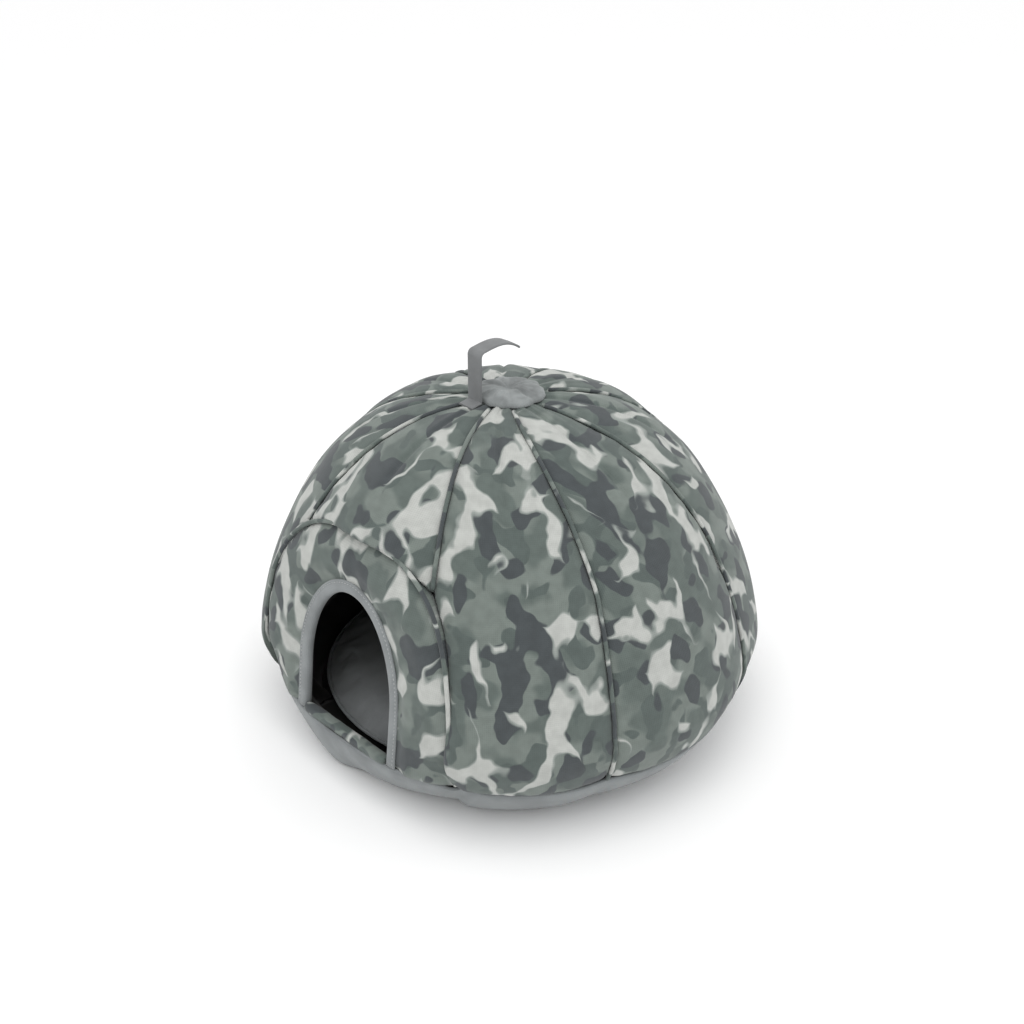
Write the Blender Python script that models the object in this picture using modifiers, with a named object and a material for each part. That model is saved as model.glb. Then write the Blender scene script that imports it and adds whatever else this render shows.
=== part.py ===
"""Dome-shaped padded pet cave: camouflage gores, an arched doorway, a grey base and a loose cushion.

Run it with  blender --background --python part.py  or from Blender's text editor.
Frame: metres, +Z up, origin on the floor under the middle of the base, doorway facing -Y.
An azimuth is in degrees, 0 at the doorway (-Y), growing towards +X.
"""

from math import acos, atan2, copysign, cos, degrees, exp, pi, radians, sin, sqrt

import bmesh
import bpy
from mathutils import Matrix, Vector

# ---------------------------------------------------------------- driving dimensions (metres)
WAIST_RADIUS = 0.2945       # widest ring of the dome
WAIST_HEIGHT = 0.115
DOME_HEIGHT = 0.408         # floor to the top of the gores
FOOT_RADIUS = 0.754 * WAIST_RADIUS  # where the wall meets the floor
CROWN_ROUND = 0.72          # exponents of the wall's outline above the waist
CROWN_FLAT = 1.46
TUCK = 1.7                  # exponent of the outline below the waist
CROWN_HOLE = 0.030          # radius where the gores stop, under the cap

COVER = 0.002               # printed outer fabric
FOAM = 0.014                # sheet foam in every panel
LINING = 0.002              # dark inner fabric
GAP = 0.0003                # clearance between pieces that touch

SEAM_HEIGHT = 0.065         # where the gores are sewn to the base band
GORE_BULGE = 0.007          # how far a padded gore swells between its seams
SEAM_AZIMUTHS = (27.0, 69.0, 114.0, 159.0)
SEAM_LEAN = 22.0            # degrees the seams swing forward as they near the crown
SEAM_LEAN_RADIUS = 0.24     # no lean outside this radius
PIPING_RADIUS = 0.0025      # welt cord in every seam
PIPING_STANDS = 0.001       # how far the cord's middle stands out of the seam

PANEL_FRONT = 0.894 * WAIST_RADIUS  # doorway panel: its face at floor level, before it leans back
PANEL_LEAN = 0.12           # metres back per metre up
PANEL_HALF = 0.547 * WAIST_RADIUS  # half width of the doorway panel
PANEL_SPRING = 0.100        # height where its arch begins
PANEL_RISE = 0.206          # height of its arch
ARCH_POWER = 2.6            # 2 is an ellipse, more is squarer in its shoulders
PANEL_FLAT = 0.82           # share of the panel that is flat, from the middle out
RIM_AZIMUTH = 34.0          # azimuth of the panel's lower corners
ROLL_SIDE, ROLL_TOP = 0.004, 0.006  # how far its rim rolls back to the dome
ROLL_FOOT = 0.0225          # how far its lower corners are drawn back

DOOR_HALF = 0.0725          # half width of the clear doorway
DOOR_SPRING = 0.130
DOOR_RISE = 0.111
BINDING = 0.0016            # thickness of the grey door binding
BINDING_WIDTH = 0.0155      # how far it laps over the panel
PINCHED = 0.0015            # thickness of the foam where the binding squeezes it
PINCH_RUN = 0.018           # distance over which the foam grows to its full thickness

LEDGE = 0.008               # doorstep: how far the base stands out under the door
SHOULDER = 0.003            # how far the base stands out under the panel's lower corners
TUCKED = 0.006              # how far those corners are drawn in at the floor
SAG = 0.33                  # how much less the left half of the base's front draws in towards the floor
NOTCH = 0.008               # depth of the valley just beside those corners
CORNER_SWING = 7.0          # degrees those corners swing forward on their way to the floor
BASE_CLOTH = 0.002
BASE_FOAM = 0.018

CAP_RADIUS = 0.041          # grey puffed cap over the crown
CAP_HEIGHT = 0.009

STRAP_WIDTH = 0.022
STRAP_THICK = 0.0025
STRAP_FOOT = 0.0445         # distance of the strap's foot in front of the crown's centre
STRAP_SIDE = -0.007         # how far it is sewn to the left of the doorway's middle
STRAP_RISE = 0.061
STRAP_REACH = 0.058
STRAP_DROOP = 0.010
STRAP_BEND = 0.010          # radius of the strap's fold

CUSHION_RADIUS = WAIST_RADIUS - 0.0725
CUSHION_THICK = 0.044
CUSHION_CROWN = 0.010       # extra thickness in the middle
CUSHION_CLOTH = 0.002

GORE_NAMES = ("front_right", "right", "rear_right", "rear", "rear_left", "left", "front_left", "front")
COLUMNS, ROWS = 4, 8       # facets of a gore, across and up
ROUND = 32                  # facets round the cushion and the cap
WAIST_SHARE = 0.16          # share of a gore's rows that lie below the waist

SEAM_CLEAR = PIPING_RADIUS + GAP
WALL = COVER + FOAM + LINING + 2 * GAP
JAMB = COVER + PINCHED + LINING + 2 * GAP  # the wall's thickness inside the door binding
STRAP_CLEAR = STRAP_THICK / 2 + GAP        # room its pieces need to turn about their shared edges
BAND_TOP = SEAM_HEIGHT - 0.004
CROWN_ANGLE = acos((CROWN_HOLE / WAIST_RADIUS) ** (1 / CROWN_ROUND))
FLOOR_TOP = BASE_CLOTH + BASE_FOAM + LINING + 2 * GAP


# ---------------------------------------------------------------- small helpers
def clear_scene():
    for obj in list(bpy.data.objects):
        bpy.data.objects.remove(obj)


def collection(name):
    made = bpy.data.collections.new(name)
    bpy.context.scene.collection.children.link(made)
    return made


def material(name, colour, roughness, metallic=0.0):
    made = bpy.data.materials.new(name)
    made.use_nodes = True
    shader = made.node_tree.nodes["Principled BSDF"]
    shader.inputs["Base Color"].default_value = (*colour, 1.0)
    shader.inputs["Roughness"].default_value = roughness
    shader.inputs["Metallic"].default_value = metallic
    return made


def add(name, data, finish, group=None):
    obj = bpy.data.objects.new(name, data)
    (group or PARTS).objects.link(obj)
    if finish is not None:
        data.materials.append(finish)
    return obj


def mesh_from(bm, name):
    data = bpy.data.meshes.new(name)
    bm.to_mesh(data)
    bm.free()
    return data


def smoothstep(low, high, x):
    share = min(1.0, max(0.0, (x - low) / (high - low)))
    return share * share * (3 - 2 * share)


def solidify(obj, thickness, offset=-1.0):
    shell = obj.modifiers.new("thickness", "SOLIDIFY")
    shell.thickness = thickness
    shell.offset = offset
    shell.use_even_offset = True


def boolean(obj, cutter, operation):
    cut = obj.modifiers.new(operation.lower(), "BOOLEAN")
    cut.object = cutter
    cut.operation = operation
    cut.solver = "EXACT"


def patch(name, columns, rows, place, depth, thickness, finish, wrap=False):
    """A padded sheet: place(u, v, depth) gives both its faces; wrap joins its last column to its first."""
    bm = bmesh.new()
    count = columns if wrap else columns + 1
    outer, inner = (
        [[bm.verts.new(place(i / columns, j / rows, d)) for j in range(rows + 1)] for i in range(count)]
        for d in (depth, depth + thickness)
    )

    def facet(a, b, c, d):
        bm.faces.new((a, b, c))
        bm.faces.new((a, c, d))

    for i in range(columns):
        k = (i + 1) % count
        for j in range(rows):
            facet(outer[i][j], outer[k][j], outer[k][j + 1], outer[i][j + 1])
            facet(inner[i][j], inner[k][j], inner[k][j + 1], inner[i][j + 1])
        facet(inner[i][0], inner[k][0], outer[k][0], outer[i][0])
        facet(inner[i][rows], inner[k][rows], outer[k][rows], outer[i][rows])
    for i in () if wrap else (0, columns):
        for j in range(rows):
            facet(outer[i][j], outer[i][j + 1], inner[i][j + 1], inner[i][j])
    bmesh.ops.recalc_face_normals(bm, faces=bm.faces)
    return add(name, mesh_from(bm, name), finish)


def cord(name, points, radius, finish, cyclic=False, resolution=1):
    data = bpy.data.curves.new(name, "CURVE")
    data.dimensions = "3D"
    data.bevel_depth = radius
    data.bevel_resolution = resolution
    data.use_fill_caps = True
    spline = data.splines.new("POLY")
    spline.points.add(len(points) - 1)
    for corner, place in zip(spline.points, points):
        corner.co = (*place, 1.0)
    spline.use_cyclic_u = cyclic
    return add(name, data, finish)


def flat_shape(name, outlines, thickness, finish, group=None):
    """A plate from closed outlines in its own XY plane, the later outlines being holes."""
    data = bpy.data.curves.new(name, "CURVE")
    data.dimensions = "2D"
    data.fill_mode = "BOTH"
    data.extrude = thickness / 2
    for outline in outlines:
        spline = data.splines.new("POLY")
        spline.points.add(len(outline) - 1)
        for corner, (x, y) in zip(spline.points, outline):
            corner.co = (x, y, 0.0, 1.0)
        spline.use_cyclic_u = True
    return add(name, data, finish, group)


def as_mesh(obj):
    """The same object with its curve made a welded mesh, so that a Boolean can use it."""
    bpy.context.view_layer.update()
    graph = bpy.context.evaluated_depsgraph_get()
    data = bpy.data.meshes.new_from_object(obj.evaluated_get(graph))
    bm = bmesh.new()
    bm.from_mesh(data)
    bmesh.ops.remove_doubles(bm, verts=bm.verts, dist=1e-6)
    bmesh.ops.recalc_face_normals(bm, faces=bm.faces)
    bm.to_mesh(data)
    bm.free()
    made = bpy.data.objects.new(obj.name, data)
    for owner in list(obj.users_collection):
        owner.objects.link(made)
    made.matrix_world = obj.matrix_world.copy()
    name = obj.name
    bpy.data.objects.remove(obj)
    made.name = name
    return made


def hide_cutter(obj):
    obj.hide_render = True
    obj.display_type = "WIRE"
    return obj


# ---------------------------------------------------------------- the dome's outline
def wall_radius(z):
    """Outer radius of the dome at height z, before a gore's swell."""
    if z < WAIST_HEIGHT:
        return WAIST_RADIUS - (WAIST_RADIUS - FOOT_RADIUS) * ((WAIST_HEIGHT - z) / WAIST_HEIGHT) ** TUCK
    lift = min(1.0, (z - WAIST_HEIGHT) / (DOME_HEIGHT - WAIST_HEIGHT)) ** (1 / CROWN_FLAT)
    return WAIST_RADIUS * sqrt(1 - lift * lift) ** CROWN_ROUND


def meridian(share):
    """(radius, height) along a gore, share 0 at the base seam and 1 at the crown's hole."""
    if share < WAIST_SHARE:
        z = SEAM_HEIGHT + (WAIST_HEIGHT - SEAM_HEIGHT) * share / WAIST_SHARE
        return wall_radius(z), z
    angle = CROWN_ANGLE * (share - WAIST_SHARE) / (1 - WAIST_SHARE)
    radius = WAIST_RADIUS * cos(angle) ** CROWN_ROUND
    return radius, WAIST_HEIGHT + (DOME_HEIGHT - WAIST_HEIGHT) * sin(angle) ** CROWN_FLAT


def seam_azimuth(nominal, radius):
    """A seam's azimuth, in degrees, at that radius: seams swing forward near the crown."""
    inside = max(0.0, 1 - radius / SEAM_LEAN_RADIUS)
    return nominal - SEAM_LEAN * sin(radians(nominal)) * inside**1.2


def around(azimuth, radius, z):
    return Vector((radius * sin(radians(azimuth)), -radius * cos(radians(azimuth)), z))


def swell(u, radius):
    """How far the padded gore stands out at u, 0 and 1 being its seams."""
    return GORE_BULGE * min(1.0, radius / (0.7 * WAIST_RADIUS)) * (1 - abs(2 * u - 1) ** 2.4)


def gore_edges(index):
    """Nominal azimuths of the two seams of a gore, counted from the front right one."""
    right = (*SEAM_AZIMUTHS, *(360 - a for a in reversed(SEAM_AZIMUTHS)))
    return right[index], right[(index + 1) % 8] + (360 if index == 7 else 0)


def gore_face(index, u, share):
    """A point of a gore's outer face."""
    radius, z = meridian(share)
    low, high = (seam_azimuth(a, radius) for a in gore_edges(index))
    trim = degrees(SEAM_CLEAR / radius)
    azimuth = low + trim + u * (high - low - 2 * trim)
    return around(azimuth, radius + swell(u, radius), z)


def below(face, u, v, depth, step=1e-3):
    """The point depth under face(u, v), measured along the face's normal."""
    u0, u1 = max(0.0, u - step), min(1.0, u + step)
    v0, v1 = max(0.0, v - step), min(1.0, v + step)
    normal = (face(u1, v) - face(u0, v)).cross(face(u, v1) - face(u, v0)).normalized()
    return face(u, v) - normal * depth


def gore_spot(index, u, v, depth, margin):
    """A point inside a gore: its side edges keep margin from the seams, its lower edge stays level."""
    spot = below(lambda a, b: gore_face(index, a, b), u, v, depth)
    if v == 0:
        spot.z = SEAM_HEIGHT
    if u in (0, 1):
        radius = sqrt(spot.x**2 + spot.y**2)
        nominal = gore_edges(index)[round(u)]
        trim = degrees(margin / radius) * (1 - 2 * u)
        spot = around(seam_azimuth(nominal, radius) + trim, radius, spot.z)
    return spot


# ---------------------------------------------------------------- the doorway panel's outline
def panel_half(z):
    """Half width of the doorway panel at height z."""
    if z < PANEL_SPRING:
        foot = wall_radius(SEAM_HEIGHT) * sin(radians(RIM_AZIMUTH))
        return foot + (PANEL_HALF - foot) * (z - SEAM_HEIGHT) / (PANEL_SPRING - SEAM_HEIGHT)
    return PANEL_HALF * max(0.0, 1 - ((z - PANEL_SPRING) / PANEL_RISE) ** ARCH_POWER) ** (1 / ARCH_POWER)


def panel_face_y(x, z):
    """The doorway panel's outer face: flat, leaning back, and rolled back to the dome at its rim."""
    rise = max(0.0, z - PANEL_SPRING) / PANEL_RISE
    across = abs(x) / (PANEL_HALF if rise > 0 else panel_half(z))
    share = (across**ARCH_POWER + rise**ARCH_POWER) ** (1 / ARCH_POWER)
    roll = (ROLL_SIDE + ROLL_TOP * smoothstep(0.42, 1.0, rise)) * smoothstep(PANEL_FLAT, 1.0, share)
    beside = DOOR_HALF + BINDING_WIDTH + 0.002
    past = min(1.0, max(0.0, abs(x) - beside) / (panel_half(SEAM_HEIGHT) - beside))
    foot = smoothstep(PANEL_SPRING + 0.03, SEAM_HEIGHT, z)
    return -(PANEL_FRONT - PANEL_LEAN * z) + roll + ROLL_FOOT * foot * past**1.5


def arch_outline(half, spring, rise, foot_half, foot_z, grow, power=2.0, steps=14):
    """A closed outline in (x, z): an arch on sides that run down to the foot."""
    points = [(foot_half + grow, foot_z)]
    for k in range(steps + 1):
        angle = pi * k / steps
        across = copysign(abs(cos(angle)) ** (2 / power), cos(angle))
        points.append(((half + grow) * across, spring + (rise + grow) * abs(sin(angle)) ** (2 / power)))
    points.append((-foot_half - grow, foot_z))
    return points


def prism(name, outline, near, far):
    """The (x, z) outline pushed along Y from near to far, as a cutter."""
    obj = flat_shape(name, [outline], far - near, None, CUTTERS)
    obj.matrix_world = Matrix.Translation((0, (near + far) / 2, 0)) @ Matrix.Rotation(pi / 2, 4, "X")
    return hide_cutter(as_mesh(obj))


def panel_outline(grow, foot_z):
    return arch_outline(PANEL_HALF, PANEL_SPRING, PANEL_RISE, panel_half(foot_z), foot_z, grow, ARCH_POWER)


def door_outline(grow, foot_z):
    return arch_outline(DOOR_HALF, DOOR_SPRING, DOOR_RISE, DOOR_HALF, foot_z, grow)


# ---------------------------------------------------------------- dome
def layers():
    """(name, depth, thickness, distance from the seams, material) of the layers of every panel."""
    return (
        ("cover", 0.0, COVER, SEAM_CLEAR, CAMO),
        ("foam", COVER + GAP, FOAM, 0.0012, FOAM_WHITE),
        ("lining", COVER + FOAM + 2 * GAP, LINING, GAP, LINER),
    )


def gores():
    """Eight gores, each a printed cover, sheet foam and a lining; the front ones stop at the panel."""
    clear = prism("panel_clearance", panel_outline(2 * SEAM_CLEAR, SEAM_HEIGHT - 0.03), -0.45, -0.10)
    for index, place in enumerate(GORE_NAMES):
        for layer, depth, thickness, margin, finish in layers():

            def spot(u, v, d, index=index, margin=margin):
                return gore_spot(index, u, v, d, margin)

            obj = patch(f"{place}_{layer}", COLUMNS, ROWS, spot, depth, thickness, finish)
            if "front" in place:
                boolean(obj, clear, "DIFFERENCE")


def seam_pipings():
    """One welt cord along each seam between gores, from the crown to the base or to the arch."""
    for index, after in enumerate(GORE_NAMES):
        before = GORE_NAMES[index - 1]
        nominal = gore_edges(index)[0]
        points = []
        for k in range(ROWS + 1):
            radius, z = meridian(k / ROWS)
            if k == 0:
                z = SEAM_HEIGHT + 0.004
                radius = wall_radius(z)
            spot = around(seam_azimuth(nominal, radius), radius + PIPING_STANDS, z)
            if "front" in (before, after) and inside_panel(spot, 2 * SEAM_CLEAR + PIPING_RADIUS + GAP):
                continue
            points.append(spot)
        last, beyond = points[-2:]
        r0, r1 = (sqrt(spot.x**2 + spot.y**2) for spot in (last, beyond))
        points[-1] = last.lerp(beyond, (r0 - CAP_RADIUS - 2 * PIPING_RADIUS) / (r0 - r1))
        cord(f"piping_{before}_to_{after}", points, PIPING_RADIUS, CAMO)


def inside_panel(spot, grow):
    """Whether a point in front lies within the doorway panel's outline grown by that much."""
    if spot.y > -0.1:
        return False
    if spot.z < PANEL_SPRING:
        return abs(spot.x) < PANEL_HALF + grow
    across, rise = abs(spot.x) / (PANEL_HALF + grow), (spot.z - PANEL_SPRING) / (PANEL_RISE + grow)
    return across**ARCH_POWER + rise**ARCH_POWER < 1


def door_panel():
    """The arched front panel's three layers, from the doorway's edge to the rim, thin inside the binding."""
    foot = SEAM_HEIGHT + 0.001
    lines = [door_outline(grow, foot) for grow in (BINDING + GAP, BINDING_WIDTH + 0.0015, BINDING_WIDTH + PINCH_RUN)]
    full, rim = lines[-1], panel_outline(-GAP, foot)
    for share in (0.35, 0.7, 1.0):
        lines.append([(x0 + (x1 - x0) * share, z0 + (z1 - z0) * share) for (x0, z0), (x1, z1) in zip(full, rim)])
    faces = [[Vector((x, panel_face_y(x, z), z)) for x, z in line] for line in lines]
    for layer, depth, thickness, margin, finish in layers():

        def spot(u, v, d, margin=margin):
            row, column = round(v * (len(faces) - 1)), round(u * (len(rim) - 1))
            point = faces[row][column]
            if row == len(faces) - 1 and margin < SEAM_CLEAR:
                inner = faces[row - 1][column]
                point = point.lerp(inner, 0.04)
            if row < 2 and d > COVER + GAP + 0.5 * FOAM:
                d -= FOAM - PINCHED
            return point + Vector((0, d, 0))

        patch(f"door_panel_{layer}", len(rim) - 1, len(faces) - 1, spot, depth, thickness, finish)


def arch_piping():
    """The welt cord round the doorway panel's rim, from one side of the base to the other."""
    points = []
    for x, z in panel_outline(SEAM_CLEAR - GAP / 2, SEAM_HEIGHT + 0.004):
        rim = panel_face_y(copysign(min(abs(x), PANEL_HALF), x), z)
        points.append((x, rim - PIPING_STANDS, z))
    cord("arch_piping", points, PIPING_RADIUS, CAMO)


def door_binding():
    """Grey binding folded over the doorway's raw edge: a C section swept round the arch."""
    foot = SEAM_HEIGHT + 0.004
    front, back = BINDING + GAP, JAMB + GAP + BINDING
    blank = flat_shape("door_binding", [arch_strip(0.0, BINDING_WIDTH, foot)], front + back, GREY)
    place_on_panel(blank, (back - front) / 2)
    blank = as_mesh(blank)
    round_edges(blank, 0.0006)
    channel = [arch_strip(BINDING, BINDING_WIDTH + 0.01, foot - 0.02)]
    slot = flat_shape("binding_channel", channel, JAMB + 2 * GAP, None, CUTTERS)
    place_on_panel(slot, JAMB / 2)
    boolean(blank, hide_cutter(as_mesh(slot)), "DIFFERENCE")


def arch_strip(inner, outer, foot):
    """The outline of an arched strip round the doorway, between two distances from its clear edge."""
    outside = door_outline(outer, foot)
    inside = door_outline(inner, foot)
    return outside + inside[::-1]


def place_on_panel(obj, depth):
    """Stands a flat shape drawn in (x, height) on the doorway panel's face, depth behind it."""
    lean = atan2(PANEL_LEAN, 1.0)
    upright = Matrix.Rotation(pi / 2 - lean, 4, "X")
    stretch = Matrix.Diagonal((1.0, 1 / cos(lean), 1.0, 1.0))
    foot = Vector((0, -PANEL_FRONT, 0)) + Vector((0, cos(lean), -sin(lean))) * depth
    obj.matrix_world = Matrix.Translation(foot) @ upright @ stretch
    return obj


def round_edges(obj, width):
    bevel = obj.modifiers.new("soft edges", "BEVEL")
    bevel.width = width
    bevel.segments = 1
    bevel.limit_method = "ANGLE"
    bevel.angle_limit = radians(50)


def threshold():
    """The printed roll that covers the top of the base band across the doorway."""
    bm = bmesh.new()
    bmesh.ops.create_cube(bm, size=1.0)
    half = DOOR_HALF - 2 * GAP
    depth = LEDGE + JAMB + 0.006
    for vertex in bm.verts:
        vertex.co = Vector((vertex.co.x * 2 * half, vertex.co.y * depth, vertex.co.z * 0.009))
    obj = add("threshold_roll", mesh_from(bm, "threshold_roll"), CAMO)
    obj.location = (0, -(PANEL_FRONT - PANEL_LEAN * SEAM_HEIGHT) - LEDGE + 0.003 + depth / 2, SEAM_HEIGHT + 0.0065)
    bevel = obj.modifiers.new("rolled edges", "BEVEL")
    bevel.width = 0.0035
    bevel.segments = 3


# ---------------------------------------------------------------- base
def base_azimuths():
    """Nominal azimuths once round the base, closer together at the panel's lower corners."""
    front = [RIM_AZIMUTH * k / 4 for k in range(5)]
    corner = [RIM_AZIMUTH + step for step in (1.8, 3.4, 5.2, 8.0)]
    seams = (RIM_AZIMUTH + 13.0, *SEAM_AZIMUTHS[1:])
    side = [a + (b - a) * k / 4 for a, b in zip(seams, seams[1:]) for k in range(4)]
    rear = [seams[-1] + (180.0 - seams[-1]) * k / 3 for k in range(3)]
    half = front + corner + side + rear
    return [-a for a in half[:0:-1]] + half + [180.0]


def base_face(azimuth, z):
    """The base's outer face at a nominal azimuth, its azimuth at the base seam, and at height z."""
    radius = wall_radius(z)
    lift = z / SEAM_HEIGHT
    side = abs(azimuth)
    rim = RIM_AZIMUTH - CORNER_SWING * (1 - lift)
    full = smoothstep(4.0, -12.0, azimuth)
    shoulder = SHOULDER * lift - TUCKED * (1 - lift) * (1 - 3.5 * full)
    if side < RIM_AZIMUTH:
        corner = around(rim, radius + shoulder, z)
        drawn_in = (radius / wall_radius(SEAM_HEIGHT)) ** (0.6 - SAG * full)
        flat_y = -(PANEL_FRONT - PANEL_LEAN * SEAM_HEIGHT + LEDGE) * drawn_in
        share = side / RIM_AZIMUTH
        spot = Vector((corner.x * share, flat_y + (corner.y - flat_y) * share**2.2, z))
    else:
        low_edge = max(a for a in (RIM_AZIMUTH, *SEAM_AZIMUTHS[1:]) if a <= side)
        high_edge = min(a for a in (*SEAM_AZIMUTHS[1:], 360 - SEAM_AZIMUTHS[-1]) if a >= side)
        share = (side - low_edge) / max(1e-6, high_edge - low_edge)
        past = side - RIM_AZIMUTH
        fall = shoulder * (1 - smoothstep(0.0, 3.0, past)) - NOTCH * exp(-(((past - 3.4) / 2.0) ** 2))
        swung = side - (RIM_AZIMUTH - rim) * (1 - smoothstep(0.0, 30.0, past))
        spot = around(swung, radius + fall + swell(share, radius), z)
    return Vector((copysign(spot.x, azimuth), spot.y, z))


def base():
    """The grey tub: bottom cloth and foam, a floor lining, and the band with its own foam and lining."""
    heights = (BASE_CLOTH + GAP, FLOOR_TOP, BAND_TOP)
    azimuths = base_azimuths()
    bands = (
        ("base_band", 0.0, BASE_CLOTH, heights, GREY),
        ("base_band_foam", BASE_CLOTH + GAP, FOAM, heights[1:], FOAM_WHITE),
        ("base_band_lining", BASE_CLOTH + FOAM + 2 * GAP, LINING, heights[1:], LINER),
    )
    for name, depth, thickness, levels, finish in bands:
        rows = len(levels) - 1

        def spot(u, v, d, levels=levels, rows=rows):
            return inset(base_face(azimuths[round(u * len(azimuths))], levels[round(v * rows)]), d)

        patch(name, len(azimuths), rows, spot, depth, thickness, finish, wrap=True)

    slab("base_bottom", 0.0, BASE_CLOTH, 0.0, GRIP)
    slab("base_foam", BASE_CLOTH + GAP, BASE_FOAM, BASE_CLOTH + 3 * GAP, FOAM_WHITE)
    slab("floor_lining", FLOOR_TOP - LINING, LINING, BASE_CLOTH + 3 * GAP, LINER)


def inset(spot, distance):
    """The point moved level towards the middle."""
    return spot - Vector((spot.x, spot.y, 0)).normalized() * distance


def slab(name, bottom, thickness, margin, finish):
    """A level sheet whose edge follows the base's slope, drawn in by margin."""
    bm = bmesh.new()
    rings = []
    for z in (bottom, bottom + thickness):
        rings.append([bm.verts.new(inset(base_face(azimuth, z), margin)) for azimuth in base_azimuths()])
    low, high = rings
    bm.faces.new(low[::-1])
    bm.faces.new(high)
    for k in range(len(low)):
        following = (k + 1) % len(low)
        bm.faces.new((low[k], low[following], high[following], high[k]))
    bmesh.ops.recalc_face_normals(bm, faces=bm.faces)
    add(name, mesh_from(bm, name), finish)


def base_piping():
    """The thin grey welt between the gores and the base band."""
    points = []
    for azimuth in base_azimuths():
        edge = base_face(azimuth, BAND_TOP)
        out = Vector((edge.x, edge.y, 0)).normalized()
        points.append(edge + out * 0.0005 + Vector((0, 0, 0.002)))
    cord("base_piping", points, 0.0016, GREY, cyclic=True)


# ---------------------------------------------------------------- crown and strap
def turned(name, profile, segments, finish):
    """A solid turned about Z from a profile of (radius, height), top to bottom on its outer side."""
    bm = bmesh.new()
    corners = [bm.verts.new((r, 0, z)) for r, z in profile]
    for a, b in zip(corners, corners[1:]):
        bm.edges.new((a, b))
    obj = add(name, mesh_from(bm, name), finish)
    screw = obj.modifiers.new("turned", "SCREW")
    screw.steps = segments
    screw.render_steps = segments
    screw.use_merge_vertices = True
    screw.merge_threshold = 0.00005
    return obj


def crown():
    """Puffed grey cap over the gores' ends, a foam plug in the hole and a lining disc below."""
    seat = DOME_HEIGHT + GAP
    steps = 4
    dome = [(CAP_RADIUS * sin(pi / 2 * k / steps), CAP_HEIGHT * cos(pi / 2 * k / steps)) for k in range(steps + 1)]
    cap = turned("crown_cap", [*dome, (CAP_RADIUS - 0.003, -0.0), (0.0, 0.0)], ROUND, GREY)
    cap.location = (0, 0, seat)
    hole = CROWN_HOLE - 0.004
    depth = 0.012
    plug = turned("crown_plug", [(0, 0), (hole, 0), (hole, -depth), (0, -depth)], 24, FOAM_WHITE)
    plug.location = (0, 0, DOME_HEIGHT - GAP)
    disc_radius = CROWN_HOLE + 0.012
    brow = acos((disc_radius / WAIST_RADIUS) ** (1 / CROWN_ROUND))
    rim_height = WAIST_HEIGHT + (DOME_HEIGHT - WAIST_HEIGHT) * sin(brow) ** CROWN_FLAT
    liner = turned("crown_lining", [(0, 0), (disc_radius, 0), (disc_radius, -LINING), (0, -LINING)], 24, LINER)
    liner.location = (0, 0, rim_height - WALL - 0.003)


def strap_sheet(name, line, finish):
    """Webbing whose side view is a line of (y, z) points: a ribbon as wide as the strap, then thickened."""
    bm = bmesh.new()
    rows = [[bm.verts.new((STRAP_SIDE + side * STRAP_WIDTH / 2, y, z)) for side in (-1, 1)] for y, z in line]
    for below_row, above_row in zip(rows, rows[1:]):
        bm.faces.new((below_row[0], below_row[1], above_row[1], above_row[0]))
    obj = add(name, mesh_from(bm, name), finish)
    solidify(obj, STRAP_THICK, 0.0)
    return obj


def strap():
    """The webbing strap: a foot sewn at the cap's edge, an upright leg and a flap that folds over it."""
    foot_z = DOME_HEIGHT - 0.0005
    foot_y = -STRAP_FOOT
    top_z = foot_z + STRAP_RISE
    leg_z = foot_z + 0.0035
    leg_top = top_z - STRAP_BEND - STRAP_CLEAR
    leg = [(foot_y, leg_z), (foot_y, (leg_z + leg_top) / 2), (foot_y, leg_top)]
    flap = []
    for k in range(6):
        angle = pi / 2 * k / 5
        flap.append((foot_y + STRAP_BEND * (1 - cos(angle)), top_z - STRAP_BEND + STRAP_BEND * sin(angle)))
    straight = STRAP_REACH - STRAP_BEND
    for k in range(1, 7):
        share = k / 6
        flap.append((foot_y + STRAP_BEND + straight * share, top_z + 0.002 * sin(pi * share) - STRAP_DROOP * share**1.3))
    strap_sheet("handle_leg", leg, WEBBING)
    strap_sheet("handle_flap", flap, WEBBING)
    tab = add("handle_foot", bpy.data.meshes.new("handle_foot"), WEBBING)
    bm = bmesh.new()
    bmesh.ops.create_cube(bm, size=1.0)
    for vertex in bm.verts:
        vertex.co = Vector((vertex.co.x * STRAP_WIDTH, vertex.co.y * 0.012, vertex.co.z * 0.002))
    bm.to_mesh(tab.data)
    bm.free()
    tab.location = (STRAP_SIDE, foot_y - 0.0075 - STRAP_THICK / 2, foot_z + 0.0005)
    tab.rotation_euler = (radians(4), 0, 0)


# ---------------------------------------------------------------- cushion
def cushion_section(share):
    """(radius, half thickness) of the cushion at share 0 in the middle and 1 at its seam."""
    radius = CUSHION_RADIUS * share
    half = CUSHION_THICK / 2 * (1 - share**4) ** 0.5 + CUSHION_CROWN / 2 * (1 - share**2)
    return radius, half


CUSHION_MIDDLE = FLOOR_TOP + GAP + CUSHION_THICK / 2 + CUSHION_CROWN / 2


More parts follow.
